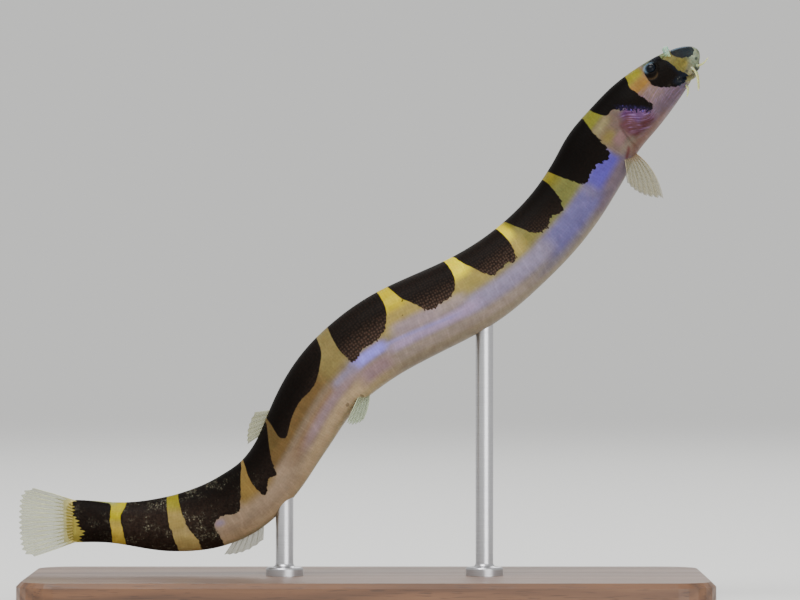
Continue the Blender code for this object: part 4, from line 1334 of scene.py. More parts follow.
@dataclass(frozen=True)
class WoodFinish:
    """Oiled walnut, cut so that its year rings run along the base and curve on its ends."""

    light: Colour = paint(112, 76, 49)
    dark: Colour = paint(80, 52, 33)
    pore: Colour = paint(46, 29, 19)
    # Place of the tree's middle across and up from the base, and the width of a year ring, in metres
    middle: Pair = (0.007, -0.017)
    ring: float = 0.0011
    sway: float = 0.006

    def rings(self, palette: Palette) -> Socket:
        """Year rings round the tree's middle, swaying a little along the board.

        Args:
            palette: The wood's material.

        Returns:
            0 in the light part of a ring and 1 in its dark part.
        """
        parts = palette.nodes.new("ShaderNodeSeparateXYZ")
        palette.link(palette.place(), parts.inputs[0])
        sway = palette.noise(palette.place((16.0, 34.0, 34.0)), 1.0, 2.0, 0.5)
        sway = palette.times(palette.minus(sway, 0.5), self.sway)
        across = palette.minus(palette.plus(parts.outputs[1], sway), self.middle[0])
        up = palette.minus(parts.outputs[2], self.middle[1])
        squares = palette.plus(palette.times(across, across), palette.times(up, up))
        ring = palette.math("FRACT", palette.math("DIVIDE", palette.math("SQRT", squares), self.ring))
        return palette.spread(palette.math("ABSOLUTE", palette.minus(ring, 0.6)), 0.0, 0.45, 1.0, 0.0)

    def make(self) -> Material:
        """Builds the material."""
        palette = Palette("oiled_walnut")
        rings = self.rings(palette)
        fibres = palette.noise(palette.place((90.0, 2200.0, 2200.0)), 1.0, 3.0, 0.6)
        pores = palette.spread(palette.noise(palette.place((420.0, 6200.0, 6200.0)), 1.0, 1.0), 0.6, 0.7)
        share = palette.plus(palette.times(rings, 0.6), palette.spread(fibres, 0.3, 0.7, 0.0, 0.4))
        colour = palette.mix(share, self.light, self.dark)
        tone = palette.spread(palette.noise(palette.place((22.0, 70.0, 70.0)), 1.0), 0.3, 0.7, 0.86, 1.12)
        colour = palette.mix(1.0, colour, palette.grey(tone), "MULTIPLY")
        colour = palette.mix(palette.times(pores, 0.5), colour, self.pore)
        palette.set(base_color=colour, roughness=palette.spread(share, 0.0, 1.0, 0.36, 0.46))
        palette.set(coat_weight=0.12, coat_roughness=0.3)
        palette.set(normal=palette.bump(pores, -0.02, 0.5))
        return palette.material


@dataclass(frozen=True)
class SteelFinish:
    """Brushed steel, its brush marks round the rod."""

    colour: Colour = paint(196, 196, 198)
    brushed: Colour = paint(178, 178, 182)

    def make(self) -> Material:
        """Builds the material."""
        palette = Palette("brushed_rod_steel")
        marks = palette.noise(palette.place((400.0, 400.0, 24000.0)), 1.0, 3.0, 0.7)
        palette.set(base_color=palette.mix(palette.spread(marks, 0.3, 0.7), self.colour, self.brushed))
        palette.set(metallic=1.0, roughness=palette.spread(marks, 0.2, 0.8, 0.28, 0.38))
        palette.set(normal=palette.bump(marks, 0.002, 0.5))
        return palette.material


@dataclass(frozen=True)
class FloorFinish:
    """Pale paper floor that fades into the backdrop far from the model."""

    colour: Colour = paint(226, 226, 224)
    fade: Pair = (0.06, 0.9)

    def make(self) -> Material:
        """Builds the material."""
        palette = Palette("pale_floor")
        place = palette.place()
        length = palette.nodes.new("ShaderNodeVectorMath")
        length.operation = "LENGTH"
        palette.link(place, length.inputs[0])
        palette.set(base_color=self.colour, roughness=0.9)
        palette.set(alpha=palette.spread(length.outputs["Value"], *self.fade, 1.0, 0.0))
        return palette.material


@dataclass
class FishSkin:
    """The one skin over head, trunk and tail, with the markings on its points."""

    flesh: Flesh
    markings: Markings = field(default_factory=Markings)
    finish: SkinFinish = field(default_factory=SkinFinish)
    columns: int = 160
    tip_rings: int = 14
    tip_end: float = 0.9
    tip_crowding: float = 1.7
    # Where each run of rings ends, in millimetres behind the snout, and how many it has
    runs: tuple[tuple[float, int], ...] = ((2.7, 44), (6.0, 46), (12.4, 72), (71.0, 300), (85.7, 78))
    nodes: tuple[str, ...] = ("head", "trunk_front", "trunk_middle", "trunk_rear", "tail_front", "tail_rear")
    # Places along the body, and there the radius by which the scales are laid round it
    girth: tuple[tuple[float, ...], tuple[float, ...]] = (
        (0.0, 6.0, 14.0, 60.0, 86.0), (1.4, 2.6, 3.6, 3.8, 2.0),
    )
    flank: Pair = (2.6, 2.4)
    brown_from: Pair = (16.0, 16.0)
    dotted: Triple = (26.0, 50.0, 10.0)
    flecks_from: Pair = (62.0, 8.0)
    # Where the last saddle starts, over what length the brown and the flecks fade there, and how far
    last_saddle: Triple = (79.0, 2.0, 0.6)
    blacker: Triple = (51.0, 70.0, 6.0)
    violet_along: Triple = (7.6, 9.9, 0.8)
    # Slope of the violet edge, and the distance behind the snout at which it crosses the spine
    violet_edge: Pair = (1.05, 8.6)
    snout_blotch: Triple = (-2.0, 2.6, 1.6)
    gill_middle: Pair = (9.4, -0.6)
    gill_reach: float = 2.6
    gill_curve: float = 0.03
    cheek_streaks: float = 0.24
    gill_streaks: float = 0.52
    eye_arc: Pair = (0.62, 0.13)

    def rows(self) -> Array:
        """Distances behind the snout of the skin's rings."""
        parts = [self.tip_end * (np.arange(1, self.tip_rings + 1) / self.tip_rings) ** self.tip_crowding]
        start = self.tip_end
        for end, count in self.runs:
            parts.append(np.linspace(start, end, count + 1)[1:])
            start = end
        return np.concatenate(parts)

    def build(self) -> bpy.types.Object:
        """Makes the skin and paints its points.

        Returns:
            The skin.
        """
        phi = full_turn(self.columns)
        angle = down_from_back(phi)
        rows = self.rows()[:, None]
        distance = self.flesh.relief.bent_to_mouth(rows, angle[None, :])
        turn = np.broadcast_to(phi, distance.shape)
        rings = self.flesh.skin(distance, turn)
        end = rings[-1].mean(axis=0)
        points, faces = closed_stack(rings, np.array(self.flesh.body.snout_tip), end)
        skin = add_piece("loach_skin", points, faces, self.finish.make())
        places = np.append(distance.ravel(), (0.0, distance[-1, 0]))
        self.dress(skin, places, np.append(turn.ravel(), (0.0, 0.0)))
        keep(skin, Slot.SKIN, *self.nodes)
        return skin

    def dress(self, skin: bpy.types.Object, distance: Array, phi: Array) -> None:
        """Stores the markings on the skin's points.

        Args:
            skin: The skin.
            distance: Distance behind the snout of each point.
            phi: Turn round the body of each point.
        """
        body, markings = self.flesh.body, self.markings
        height = body.height(distance, phi)
        across = body.value("half_width", distance) * np.sin(phi) * body.rounding(distance)
        read = markings.placed(distance, phi)
        inside, ragged, depth = markings.darkness(read, height)
        colours = np.column_stack((markings.ground_colour(read, height), np.ones(len(distance))))
        girth = np.interp(distance, *self.girth) * down_from_back(phi)
        flow, streaked = self.cheek_lines(distance, height)
        store(skin.data, "coat", np.stack((distance, across, height), -1), "FLOAT_VECTOR", "vector")
        store(skin.data, "ground", colours, "FLOAT_COLOR", "color")
        mesh = np.stack((distance, girth, np.zeros_like(distance)), -1)
        store(skin.data, "mesh", mesh, "FLOAT_VECTOR", "vector")
        store(skin.data, "flow", flow, "FLOAT_VECTOR", "vector")
        start, over = self.flecks_from
        last, length, share = self.last_saddle
        fade = 1.0 - share * ease((distance - last) / length)
        brown = 0.12 + 0.88 * ease((distance - self.brown_from[0]) / self.brown_from[1])
        brown = brown * fade * (1.0 - 0.5 * window(distance, *self.blacker))
        low = ease((self.flank[0] - height) / self.flank[1])
        crown = 0.8 * window(distance, 3.0, 5.6, 0.8) * ease(height - 1.8)
        cool = np.maximum(ease((3.4 - distance) / 1.0), crown)
        slope, crossing = self.violet_edge
        over_edge = height - slope * (distance - crossing)
        cool = np.maximum(cool, 0.7 * window(distance, 2.6, 4.0, 0.6) * window(height, -1.6, -0.5, 0.4))
        values = {
            "inside": inside,
            "ragged": ragged,
            "depth": depth,
            "flank": (0.2 + 0.8 * low) * brown,
            "dotted": (0.12 + 0.88 * low) * window(distance, *self.dotted),
            "flecked": np.maximum(ease((distance - start) / over) * fade,
                                  0.5 * window(distance, 3.2, 6.2, 0.8) * window(height, -2.0, -0.5, 0.5)),
            "violet": window(distance, *self.violet_along) * window(over_edge, -0.7, 0.3, 0.8),
            "streaked": streaked,
            "mottled": window(distance, *self.snout_blotch),
            "cool": cool,
            # Pale arc over each eye, and a painted highlight along the crest of the snout
            "pale": self.eye_ring(distance, phi),
            "fold": self.eye_fold(distance, phi),
        }
        for name, value in values.items():
            store(skin.data, name, value)

    def cheek_lines(self, distance: Array, height: Array) -> tuple[Array, Array]:
        """Course and strength of the fine lines over the gill cover and cheek.

        Args:
            distance: Distance behind the snout of each point.
            height: Height over the spine of each point.

        Returns:
            Place along and across the lines, and their strength.
        """
        middle, level = self.gill_middle
        ahead, above = middle - distance, height - level
        near = np.exp(-((ahead / self.gill_reach) ** 2) - (above / self.gill_reach) ** 2)
        slant = above * 0.69 + ahead * 0.72 - self.gill_curve * (ahead - above) ** 2
        across = above * (1 - near) + slant * near
        flow = np.stack((distance, across, np.zeros_like(distance)), -1)
        cheek = window(distance, 3.6, 10.5, 2.0) * window(height, -2.3, 1.0, 1.0)
        gill = window(distance, 7.8, 10.6, 0.8) * window(height, -1.35, 0.6, 0.6)
        return flow, np.maximum(cheek * self.cheek_streaks, gill * self.gill_streaks)

    def eye_ring(self, distance: Array, phi: Array) -> Array:
        """Strength of the pale arc over each eye and of the painted grazing highlight along the crest of the
        snout.

        Args:
            distance: Distance behind the snout of each point.
            phi: Turn round the body of each point.

        Returns:
            The strength, from 0 to 1.
        """
        relief = self.flesh.relief
        angle = down_from_back(phi)
        away = relief.eye.away(distance, angle, relief.head_radius)
        over = (math.radians(relief.eye.turn) - angle) * relief.head_radius / np.maximum(away, 1e-3)
        behind = (distance - relief.eye.distance) / np.maximum(away, 1e-3)
        radius, width = self.eye_arc
        arc = 0.5 * bell(away - radius, width) * ease((over * 0.8 + behind * 0.5 + 0.2) / 0.8)
        # The crest term is a painted grazing highlight along the top of the snout, on both flanks
        crest = 0.4 * window(distance, 0.5, 2.1, 0.5) * window(np.degrees(angle), 8.0, 26.0, 10.0)
        return np.maximum(arc, crest)

    def eye_fold(self, distance: Array, phi: Array) -> Array:
        """Strength of the brown line in the groove below each eye.

        Args:
            distance: Distance behind the snout of each point.
            phi: Turn round the body of each point.

        Returns:
            The strength, from 0 to 1.
        """
        relief = self.flesh.relief
        angle = down_from_back(phi)
        groove = relief.groove.away(distance, angle, relief.head_radius)
        below = ease((angle - math.radians(relief.groove.turn)) * 3.0)
        line = bell(groove - relief.groove_radius, relief.groove_width)
        return 0.45 * below * line * window(distance, 4.5, 5.8, 0.4)


@dataclass
class Eyes:
    """The two eyeballs, a little proud of the skin."""

    flesh: Flesh
    finish: EyeFinish = field(default_factory=EyeFinish)
    thickness: float = 0.36
    depth: float = 0.06
    rings: int = 30
    sides: int = 56

    def build(self) -> None:
        """Makes both eyes."""
        material = self.finish.make()
        for side in Side:
            self.build_one(side, material)

    def build_one(self, side: Side, material: Material) -> None:
        """Makes one eye, its iris drawn by distance from the middle of the pupil.

        Args:
            side: Which flank it looks from.
            material: The eye's material.
        """
        relief = self.flesh.relief
        place, phi = relief.eye.distance, side.value * math.radians(relief.eye.turn)
        normal = self.flesh.normal(place, phi)
        up = self.flesh.body.axes(place)[2]
        over = unit(up - normal * (up @ normal))
        ahead = np.cross(over, normal)
        centre = self.flesh.body.surface(place, phi) - normal * self.depth
        turns = full_turn(self.sides)[:, None]
        around = ahead * np.cos(turns) + over * np.sin(turns)
        leans = np.linspace(0.0, math.pi, self.rings + 2)[1:-1]
        rings = np.array([
            centre + normal * self.thickness * math.cos(lean) + around * relief.eye_radius * math.sin(lean)
            for lean in leans
        ])
        front, back = centre + normal * self.thickness, centre - normal * self.thickness
        points, faces = closed_stack(rings, front, back)
        eye = add_piece(f"eyeball_{side.word}", points, faces, material)
        lean_of = np.append(np.repeat(leans, self.sides), (0.0, math.pi))
        ring = np.where(lean_of < math.pi / 2, np.sin(lean_of), 2.0)
        above = np.append(np.tile(np.sin(turns[:, 0]), self.rings), (0.0, 0.0))
        store(eye.data, "ring", ring)
        store(eye.data, "above", above)
        keep(eye, Slot.EYE, f"eye_{side.word}")


class BarbelKind(Enum):
    """Pairs of barbels, from the nostrils to the chin."""

    NASAL = "nasal"
    ROSTRAL = "rostral"
    MAXILLARY = "maxillary"
    MANDIBULAR = "mandibular"


@dataclass(frozen=True)
class Barbel:
    """Size and aim of one barbel. The aim is forward, up and outward."""

    kind: BarbelKind
    root: Spot
    aim: Triple
    length: float
    radius: float


@dataclass
class Barbels:
    """The four pairs of barbels, soft feelers with a wide root."""

    flesh: Flesh
    finish: BarbelFinish = field(default_factory=BarbelFinish)
    flap_finish: BarbelFinish = BarbelFinish(
        "nasal_flaps", root=paint(150, 158, 96), tip=paint(138, 172, 150),
    )
    flap: Pair = (1.05, 0.5)
    flap_tip: float = 0.95
    flap_flare: float = 0.3
    tip_bends: tuple[float, ...] = (0.35, 0.65, 0.88)
    pairs: tuple[Barbel, ...] = (
        Barbel(BarbelKind.NASAL, Spot(2.6, 42.0), (0.30, 0.88, 0.36), 0.95, 0.30),
        Barbel(BarbelKind.ROSTRAL, Spot(1.2, 148.0), (0.82, -0.16, 0.46), 1.5, 0.26),
        Barbel(BarbelKind.MAXILLARY, Spot(1.7, 129.0), (-0.44, -0.84, 0.42), 2.5, 0.27),
        Barbel(BarbelKind.MANDIBULAR, Spot(3.35, 146.0), (-0.56, -0.76, 0.34), 1.25, 0.25),
    )
    knee: float = 0.42
    tip: float = 0.38
    point: float = 0.7
    sunk: float = 0.22
    fine: float = 0.52
    fine_tip: float = 0.3
    flare: float = 0.9
    flare_reach: float = 0.28
    ripple: float = 0.05
    ripples: float = 9.0
    rings: int = 34
    sides: int = 20

    def build(self) -> None:
        """Makes all eight barbels."""
        plain, flap = self.finish.make(), self.flap_finish.make()
        for barbel in self.pairs:
            for side in Side:
                self.build_one(barbel, side, flap if barbel.kind is BarbelKind.NASAL else plain)

    def build_one(self, barbel: Barbel, side: Side, material: Material) -> None:
        """Makes one barbel, from under the skin to its tip.

        Args:
            barbel: Its size and aim.
            side: Which side of the mouth it grows on.
            material: The barbels' material.
        """
        place, phi = barbel.root.distance, side.value * math.radians(barbel.root.turn)
        normal = self.flesh.normal(place, phi)
        skin = self.flesh.body.surface(place, phi)
        _, forward, up, right = self.flesh.body.axes(place)
        toward = unit(forward * barbel.aim[0] + up * barbel.aim[1] + right * side.value * barbel.aim[2])
        root, knee = skin - normal * self.sunk, skin + normal * barbel.length * self.knee
        tip = skin + toward * barbel.length
        across = unit(np.cross(normal, (0.0, 0.0, 1.0)))
        turns = full_turn(self.sides)[:, None]
        shares = np.linspace(0.0, 1.0, self.rings)
        nasal = barbel.kind is BarbelKind.NASAL
        fine, tip_share = (1.0, self.flap_tip) if nasal else (self.fine, self.fine_tip)
        wide, thin = self.flap if nasal else (1.0, 1.0)
        rings = []
        for share in shares:
            centre = root * (1 - share) ** 2 + knee * 2 * share * (1 - share) + tip * share**2
            heading = unit((knee - root) * (1 - share) + (tip - knee) * share)
            across = unit(across - heading * (across @ heading))
            thick = barbel.radius * fine * (1.0 - (1.0 - tip_share) * share)
            flare = self.flare * (self.flap_flare if nasal else 1.0)
            thick *= 1.0 + flare * (1.0 - ease(share / self.flare_reach))
            thick *= 1.0 + self.ripple * math.sin(self.ripples * share * math.pi) * share
            around = across * np.cos(turns) * wide + np.cross(heading, across) * np.sin(turns) * thin
            rings.append(centre + around * thick)
        point, end_radius = barbel.radius * self.tip * self.point, thick
        for bend in self.tip_bends:
            rings.append(tip + toward * point * bend + around * end_radius * math.sqrt(1 - bend**2))
        points, faces = closed_stack(np.array(rings), root, tip + toward * point)
        feeler = add_piece(f"feeler_{barbel.kind.value}_{side.word}", points, faces, material)
        reach = np.append(np.repeat(np.append(shares, np.ones(len(self.tip_bends))), self.sides), (0.0, 1.0))
        store(feeler.data, "reach", reach)
        keep(feeler, Slot.BARBEL, f"barbel_{barbel.kind.value}_{side.word}")


@dataclass
class RayMaker:
    """Geometry Nodes that draw round fin rays along lines."""

    tree_name: str = "fin_rays"
    inputs: dict[str, str] = field(default_factory=dict)
    tree: bpy.types.NodeTree | None = None

    def plant(self) -> None:
        """Builds the node tree: each line becomes a tapered tube with closed ends."""
        tree = bpy.data.node_groups.new(self.tree_name, "GeometryNodeTree")
        sockets = {
            "Lines": ("INPUT", "NodeSocketGeometry"),
            "Ray Radius": ("INPUT", "NodeSocketFloat"),
            "Ray Sides": ("INPUT", "NodeSocketInt"),
            "Ray Finish": ("INPUT", "NodeSocketMaterial"),
            "Rays": ("OUTPUT", "NodeSocketGeometry"),
        }
        for name, (way, kind) in sockets.items():
            socket = tree.interface.new_socket(name, in_out=way, socket_type=kind)
            self.inputs[name] = socket.identifier
        chain = {
            name: tree.nodes.new(kind)
            for name, kind in (
                ("given", "NodeGroupInput"),
                ("lines", "GeometryNodeMeshToCurve"),
                ("taper", "GeometryNodeInputNamedAttribute"),
                ("scale", "ShaderNodeMath"),
                ("round", "GeometryNodeCurvePrimitiveCircle"),
                ("tubes", "GeometryNodeCurveToMesh"),
                ("smooth", "GeometryNodeSetShadeSmooth"),
                ("real", "GeometryNodeRealizeInstances"),
                ("dress", "GeometryNodeSetMaterial"),
                ("made", "NodeGroupOutput"),
            )
        }
        chain["taper"].data_type = "FLOAT"
        chain["taper"].inputs["Name"].default_value = "thick"
        chain["scale"].operation = "MULTIPLY"
        chain["round"].inputs["Radius"].default_value = 1.0
        chain["tubes"].inputs["Fill Caps"].default_value = True
        for first, output, second, target in (
            ("given", "Lines", "lines", 0),
            ("taper", "Attribute", "scale", 0),
            ("given", "Ray Radius", "scale", 1),
            ("given", "Ray Sides", "round", 0),
            ("lines", "Curve", "tubes", 0),
            ("round", "Curve", "tubes", 1),
            ("scale", "Value", "tubes", 2),
            ("tubes", "Mesh", "smooth", 0),
            ("smooth", "Geometry", "real", 0),
            ("real", "Geometry", "dress", 0),
            ("given", "Ray Finish", "dress", 2),
            ("dress", "Geometry", "made", 0),
        ):
            tree.links.new(chain[first].outputs[output], chain[second].inputs[target])
        self.tree = tree

    def grow(self, name: str, lines: Sequence[tuple[Array, Array, Array]], radius: float, sides: int,
             finish: Material) -> bpy.types.Object:
        """Makes the rays of one fin.

        Args:
            name: Name of the piece.
            lines: For each ray its points, its thickness as a share of the radius, and its reach.
            radius: Radius of a ray at its root, in millimetres.
            sides: Sides of a ray.
            finish: The rays' material.

        Returns:
            The rays as one plain mesh.
        """
        if self.tree is None:
            self.plant()
        points = np.concatenate([line[0] for line in lines])
        edges, start = [], 0
        for line, _, _ in lines:
            edges += [(start + k, start + k + 1) for k in range(len(line) - 1)]
            start += len(line)
        mesh = bpy.data.meshes.new(name)
        mesh.from_pydata((points * MM).tolist(), edges, [])
        for attribute, column in (("thick", 1), ("reach", 2)):
            values = np.concatenate([line[column] for line in lines])
            store(mesh, attribute, values)
        drawn = set_down(f"{name}_lines", mesh)
        modifier = drawn.modifiers.new("rays", "NODES")
        modifier.node_group = self.tree
        modifier[self.inputs["Ray Radius"]] = radius * MM
        modifier[self.inputs["Ray Sides"]] = sides
        modifier[self.inputs["Ray Finish"]] = finish
        evaluated = drawn.evaluated_get(bpy.context.evaluated_depsgraph_get())
        made = bpy.data.meshes.new_from_object(evaluated)
        made.name = name
        bpy.data.objects.remove(drawn, do_unlink=True)
        return set_down(name, made)


@dataclass
class FinFan:
    """Shape of one fin: rays from roots in the skin to tips, with a thin web between them."""

    roots: Array
    tips: Array
    face: Array
    bow: float = 0.0
    sweep: float = 0.0
    scallop: float = 0.05
    billow: float = 0.05
    web_root: float = 0.22
    web_edge: float = 0.05
    per_ray: int = 6
    rows: int = 26
    wave: float = 0.0
    # How much thinner a ray is at its tip, and how thick its branches are beside it
    taper: float = 0.72
    branch: float = 0.82

    def point(self, u: Array, v: Array) -> Array:
        """Points of the fin's middle sheet.

        Args:
            u: Place along the root, counted in rays.
            v: Share of the way to the tip.

        Returns:
            Points in millimetres.
        """
        u, v = np.broadcast_arrays(np.asarray(u, float), np.asarray(v, float))
        last = len(self.roots) - 1
        lower = np.clip(np.floor(u).astype(int), 0, last - 1)
        part = (u - lower)[..., None]
        start = self.roots[lower] * (1 - part) + self.roots[lower + 1] * part
        end = self.tips[lower] * (1 - part) + self.tips[lower + 1] * part
        ahead = np.cross(end - start, self.face)
        ahead = ahead / np.linalg.norm(ahead, axis=-1, keepdims=True)
        between = np.sin(math.pi * (u - np.floor(u))) ** 2
        reach = (v * (1 - self.scallop * between))[..., None]
        bent = self.bow * reach**2
        bent = bent + self.billow * (between * v)[..., None]
        bent = bent + self.wave * (np.sin(0.9 * u + 2.6 * v) * v**2)[..., None]
        lead = (self.sweep * (1 - u / last))[..., None] * 4 * reach * (1 - reach)
        return start * (1 - reach) + end * reach + self.face * bent + ahead * lead

    def web(self, name: str, finish: Material) -> bpy.types.Object:
        """Makes the thin web.

        Args:
            name: Name of the piece.
            finish: Its material.

        Returns:
            A closed thin sheet.
        """
        columns = (len(self.roots) - 1) * self.per_ray + 1
        u = np.linspace(0.0, len(self.roots) - 1.0, columns)[:, None]
        v = np.linspace(0.0, 1.0, self.rows)[None, :]
        middle = self.point(u, v)
        rim = np.minimum(1.0, np.minimum(u, len(self.roots) - 1.0 - u) * 4.0 + 0.35)
        half = (self.web_root * (1 - v) ** 2 + self.web_edge * (1 - (1 - v) ** 2)) * rim / 2
        front = middle + self.face * half[..., None]
        back = middle - self.face * half[..., None]
        points = np.concatenate((front.reshape(-1, 3), back.reshape(-1, 3)))
        other = columns * self.rows
        faces = []
        for i in range(columns - 1):
            for j in range(self.rows - 1):
                a, b = i * self.rows + j, (i + 1) * self.rows + j
                faces.append((a, b, b + 1, a + 1))
                faces.append((a + 1 + other, b + 1 + other, b + other, a + other))
        border = [i * self.rows for i in range(columns)]
        border += [(columns - 1) * self.rows + j for j in range(1, self.rows)]
        border += [i * self.rows + self.rows - 1 for i in range(columns - 2, -1, -1)]
        border += [j for j in range(self.rows - 2, 0, -1)]
        faces += [(b, a, a + other, b + other) for a, b in zip(border, border[1:] + border[:1])]
        web = add_piece(name, points, faces, finish)
        reach = np.tile(np.broadcast_to(v, (columns, self.rows)).ravel(), 2)
        store(web.data, "reach", reach)
        return web

    def ray_lines(self, fork: float = 1.0, spread: float = 0.0,
                  steps: int = 26) -> list[tuple[Array, Array, Array]]:
        """Lines of the rays, each forked once where the fin has branched rays.

        Args:
            fork: Share of the way to the tip at which a ray forks.
            spread: How far its two branches part, counted in rays.
            steps: Points along a ray.

        Returns:
            For each line its points, thickness and reach.
        """
        lines = []
        last = len(self.roots) - 1
        v = np.linspace(0.0, 1.0, steps)
        thick = 1.0 - self.taper * v
        for ray in range(last + 1):
            sides = (-spread, spread) if spread and 0 < ray < last else (0.0,)
            for side in sides:
                u = np.clip(ray + side * ease((v - fork) / (1.0 - fork + 1e-6)), 0.0, last)
                slim = np.where(v > fork, self.branch, 1.0) if spread else 1.0
                lines.append((self.point(u, v), thick * slim, v))
        return lines


@dataclass(frozen=True)
class PairedFinSize:
    """Place and size of a pectoral or pelvic fin. Aims are forward, up and outward."""

    kind: str
    rays: int
    start: float
    root: float
    turn: float
    turn_step: float
    first_aim: Triple
    last_aim: Triple
    first: float
    last: float
    bulge: float
    bow: float
    sweep: float
    ray_radius: float
    wave: float


@dataclass(frozen=True)
class MedianFinSize:
    """Place and size of the fin of the back or of the belly. Leans are in degrees."""

    kind: str
    on_back: bool
    rays: int
    start: float
    root: float
    first_lean: float
    last_lean: float
    first: float
    last: float
    bulge: float
    bow: float
    ray_radius: float


@dataclass
class Fins:
    """The six fins other than the tail fin, each a web with its rays."""

    flesh: Flesh
    rays: RayMaker = field(default_factory=RayMaker)
    gap: float = 0.3
    sunk: float = 0.35
    ray_sides: int = 8
    fork: float = 0.72
    spread: float = 0.12
    paired: tuple[PairedFinSize, ...] = (
        PairedFinSize("pectoral", 8, 12.3, 0.8, 150.0, -17.0, (-0.36, -0.86, 0.38), (-0.80, -0.56, 0.24),
                      5.6, 2.8, 0.15, 0.35, 0.65, 0.045, 0.06),
        PairedFinSize("pelvic", 6, 49.2, 0.8, 158.0, -14.0, (-0.87, -0.42, 0.26), (-0.94, -0.20, 0.26),
                      2.9, 3.4, 0.3, 0.15, 0.2, 0.045, 0.04),
    )
    median: tuple[MedianFinSize, ...] = (
        MedianFinSize("dorsal", True, 7, 56.9, 2.5, 50.0, 83.0, 1.4, 1.9, 0.35, 0.1, 0.042),
        MedianFinSize("anal", False, 7, 66.4, 2.6, 52.0, 76.0, 1.3, 1.9, 0.4, 0.1, 0.042),
    )
    finishes: dict[str, tuple[MembraneFinish, RayFinish]] = field(default_factory=lambda: {
        "pectoral": (
            MembraneFinish("pectoral_web", paint(120, 114, 82), paint(128, 98, 76), 0.3, root_clear=0.7),
            RayFinish("pectoral_rays", tip=paint(158, 148, 118), root=paint(150, 118, 94)),
        ),
        "pelvic": (
            MembraneFinish("pelvic_web", paint(140, 152, 122), paint(140, 130, 90), 0.4),
            RayFinish("pelvic_rays", tip=paint(182, 192, 162), root=paint(156, 144, 104)),
        ),
        "dorsal": (MembraneFinish("dorsal_web", clear=0.55), RayFinish("dorsal_rays")),
        "anal": (MembraneFinish("anal_web", web=paint(150, 148, 124), clear=0.55), RayFinish("anal_rays")),
    })

    def build(self) -> None:
        """Makes the paired fins and the fins of the back and belly."""
        made = {kind: (web.make(), rays.make()) for kind, (web, rays) in self.finishes.items()}
        for size in self.paired:
            for side in Side:
                fan = self.paired_fan(size, side)
                name, node = f"{size.kind}_{{}}_{side.word}", f"{size.kind}_fin_{side.word}"
                self.finish_fin(name, node, fan, size.ray_radius, *made[size.kind])
        for size in self.median:
            fan = self.median_fan(size)
            self.finish_fin(f"{size.kind}_{{}}", f"{size.kind}_fin", fan, size.ray_radius, *made[size.kind])

    def finish_fin(self, name: str, node: str, fan: FinFan, radius: float, web: Material,
                   rays: Material) -> None:
        """Makes the web and rays of one fin.

        Args:
            name: Name of the pieces, with a gap for web or rays.
            node: The node that they stand for.
            fan: The fin's shape.
            radius: Radius of a ray at its root.
            web: Material of the web.
            rays: Material of the rays.
        """
        keep(fan.web(name.format("web"), web), Slot.MEMBRANE, node)
        lines = fan.ray_lines(self.fork, self.spread)
        keep(self.rays.grow(name.format("rays"), lines, radius, self.ray_sides, rays), Slot.MEMBRANE, node)

    def paired_fan(self, size: PairedFinSize, side: Side) -> FinFan:
        """Shape of one pectoral or pelvic fin.

        Args:
            size: Its place and size.
            side: Which side it is on.

        Returns:
            The fin's shape.
        """
        share = np.linspace(0.0, 1.0, size.rays)
        places = size.start + size.root * share
        phi = side.value * np.radians(size.turn + size.turn_step * share)
        middle, middle_phi = float(places.mean()), float(phi.mean())
        normal = self.flesh.normal(middle, middle_phi)
        skin = self.flesh.body.surface(places, phi)
        _, forward, up, right = self.flesh.body.axes(middle)
        out = right * side.value
        fan = []
        for part in share:
            aim = np.array(size.first_aim) * (1 - part) + np.array(size.last_aim) * part
            reach = size.first * (1 - part) + size.last * part + size.bulge * math.sin(math.pi * part)
            fan.append(unit(forward * aim[0] + up * aim[1] + out * aim[2]) * reach)
        tips = skin + normal * self.gap + np.array(fan)
        face = unit(np.cross(fan[0], fan[-1])) * side.value
        roots = skin - normal * self.sunk
        return FinFan(roots, tips, face, size.bow, side.value * size.sweep, wave=size.wave)

    def median_fan(self, size: MedianFinSize) -> FinFan:
        """Shape of the fin of the back or of the belly.

        Args:
            size: Its place and size.

        Returns:
            The fin's shape.
        """
        share = np.linspace(0.0, 1.0, size.rays)
        places = size.start + size.root * share
        _, forward, up, right = self.flesh.body.axes(places)
        outward = up if size.on_back else -up
        skin = self.flesh.body.surface(places, 0.0 if size.on_back else math.pi)
        lean = np.radians(size.first_lean * (1 - share) + size.last_lean * share)[:, None]
        reach = size.first * (1 - share) + size.last * share + size.bulge * np.sin(math.pi * share)
        tips = skin + outward * self.gap + (outward * np.cos(lean) - forward * np.sin(lean)) * reach[:, None]
        return FinFan(skin - outward * self.sunk, tips, right[size.rays // 2], size.bow, wave=0.03)


